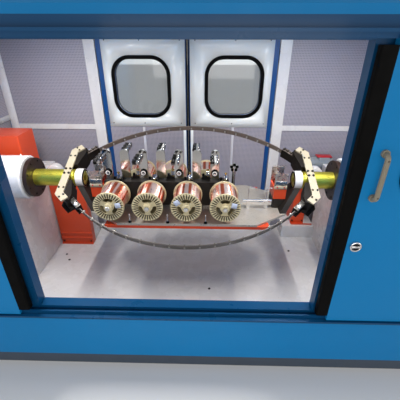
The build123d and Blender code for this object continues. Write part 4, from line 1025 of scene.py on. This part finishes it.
def areaLamp(name, place, aim, size, power):
    lamp = bpy.data.lights.new(name, "AREA")
    lamp.shape = "RECTANGLE"
    lamp.size, lamp.size_y = size
    lamp.energy = power
    lamp.color = lampColour
    back = np.asarray(place, float) - np.asarray(aim, float)
    back /= np.linalg.norm(back)
    side = np.cross((0, 0, 1) if abs(back[2]) < 0.99 else (0, 1, 0), back)
    side /= np.linalg.norm(side)
    placed(bpy.data.objects.new(name, lamp), (side, np.cross(back, side), back), place)


def setWorld(spec):
    # soft light from all sides; the camera, mirrors and glass see white instead
    world = bpy.data.worlds.new("softRoom")
    bpy.context.scene.world = world
    world.use_nodes = True
    tree = world.node_tree
    sky = tree.nodes["Background"]
    sky.inputs["Color"].default_value = spec["colour"]
    sky.inputs["Strength"].default_value = spec["strength"]
    white = tree.nodes.new("ShaderNodeBackground")
    white.inputs["Color"].default_value = (1, 1, 1, 1)
    rays = tree.nodes.new("ShaderNodeLightPath").outputs
    seen = rays["Is Camera Ray"]
    for ray in ("Is Glossy Ray", "Is Transmission Ray"):
        seen = maths(tree, "MAXIMUM", seen, rays[ray])
    mix = tree.nodes.new("ShaderNodeMixShader")
    for socket, value in zip(mix.inputs, (seen, sky.outputs[0], white.outputs[0])):
        tree.links.new(value, socket)
    tree.links.new(mix.outputs[0], tree.nodes["World Output"].inputs["Surface"])


for name, (place, aim, size, power) in lamps.items():
    areaLamp(name + "Lamp", place, aim, size, power)
setWorld(skyLight)

bpy.ops.mesh.primitive_plane_add(size=40, location=(0, 0, -0.0005))
floor = bpy.context.object
floor.name = "studioFloor"
floorMaterial, floorTree, floorShader = newMaterial("studioFloorPaint", (0.82, 0.82, 0.82), 0.8)
floorTint = mixedColour(floorTree, objectNoise(floorTree, 0.6), (0.80, 0.80, 0.80), (0.84, 0.84, 0.84))
floorTree.links.new(floorTint, floorShader.inputs["Base Color"])
floor.data.materials.append(floorMaterial)

viewpoint = {
    "place": (0.167, -2.048, 1.875),
    "yaw": 1.25,        # degrees towards -X
    "pitch": 28.14,     # degrees below level
    "roll": 0.13,
    "focal": 314.7,     # in pixels of a frame 400 wide
}


def setCamera(spec):
    # the camera's three axes from yaw, pitch and roll
    yaw, pitch, roll = np.radians([spec["yaw"], spec["pitch"], spec["roll"]])
    right = np.array([np.cos(yaw), np.sin(yaw), 0])
    level = np.array([-np.sin(yaw), np.cos(yaw), 0])
    ahead = level * np.cos(pitch) + np.array([0, 0, -np.sin(pitch)])
    rolled = right * np.cos(roll) + np.cross(right, ahead) * np.sin(roll)
    data = bpy.data.cameras.new("viewCamera")
    data.sensor_width = 36
    data.lens = 36 * spec["focal"] / 400
    data.clip_start, data.clip_end = 0.05, 100
    camera = bpy.data.objects.new("viewCamera", data)
    placed(camera, (rolled, np.cross(rolled, ahead), -ahead), spec["place"])
    bpy.context.scene.camera = camera


setCamera(viewpoint)
bpy.context.scene.view_settings.view_transform = "Standard"
print("light, floor and camera set")
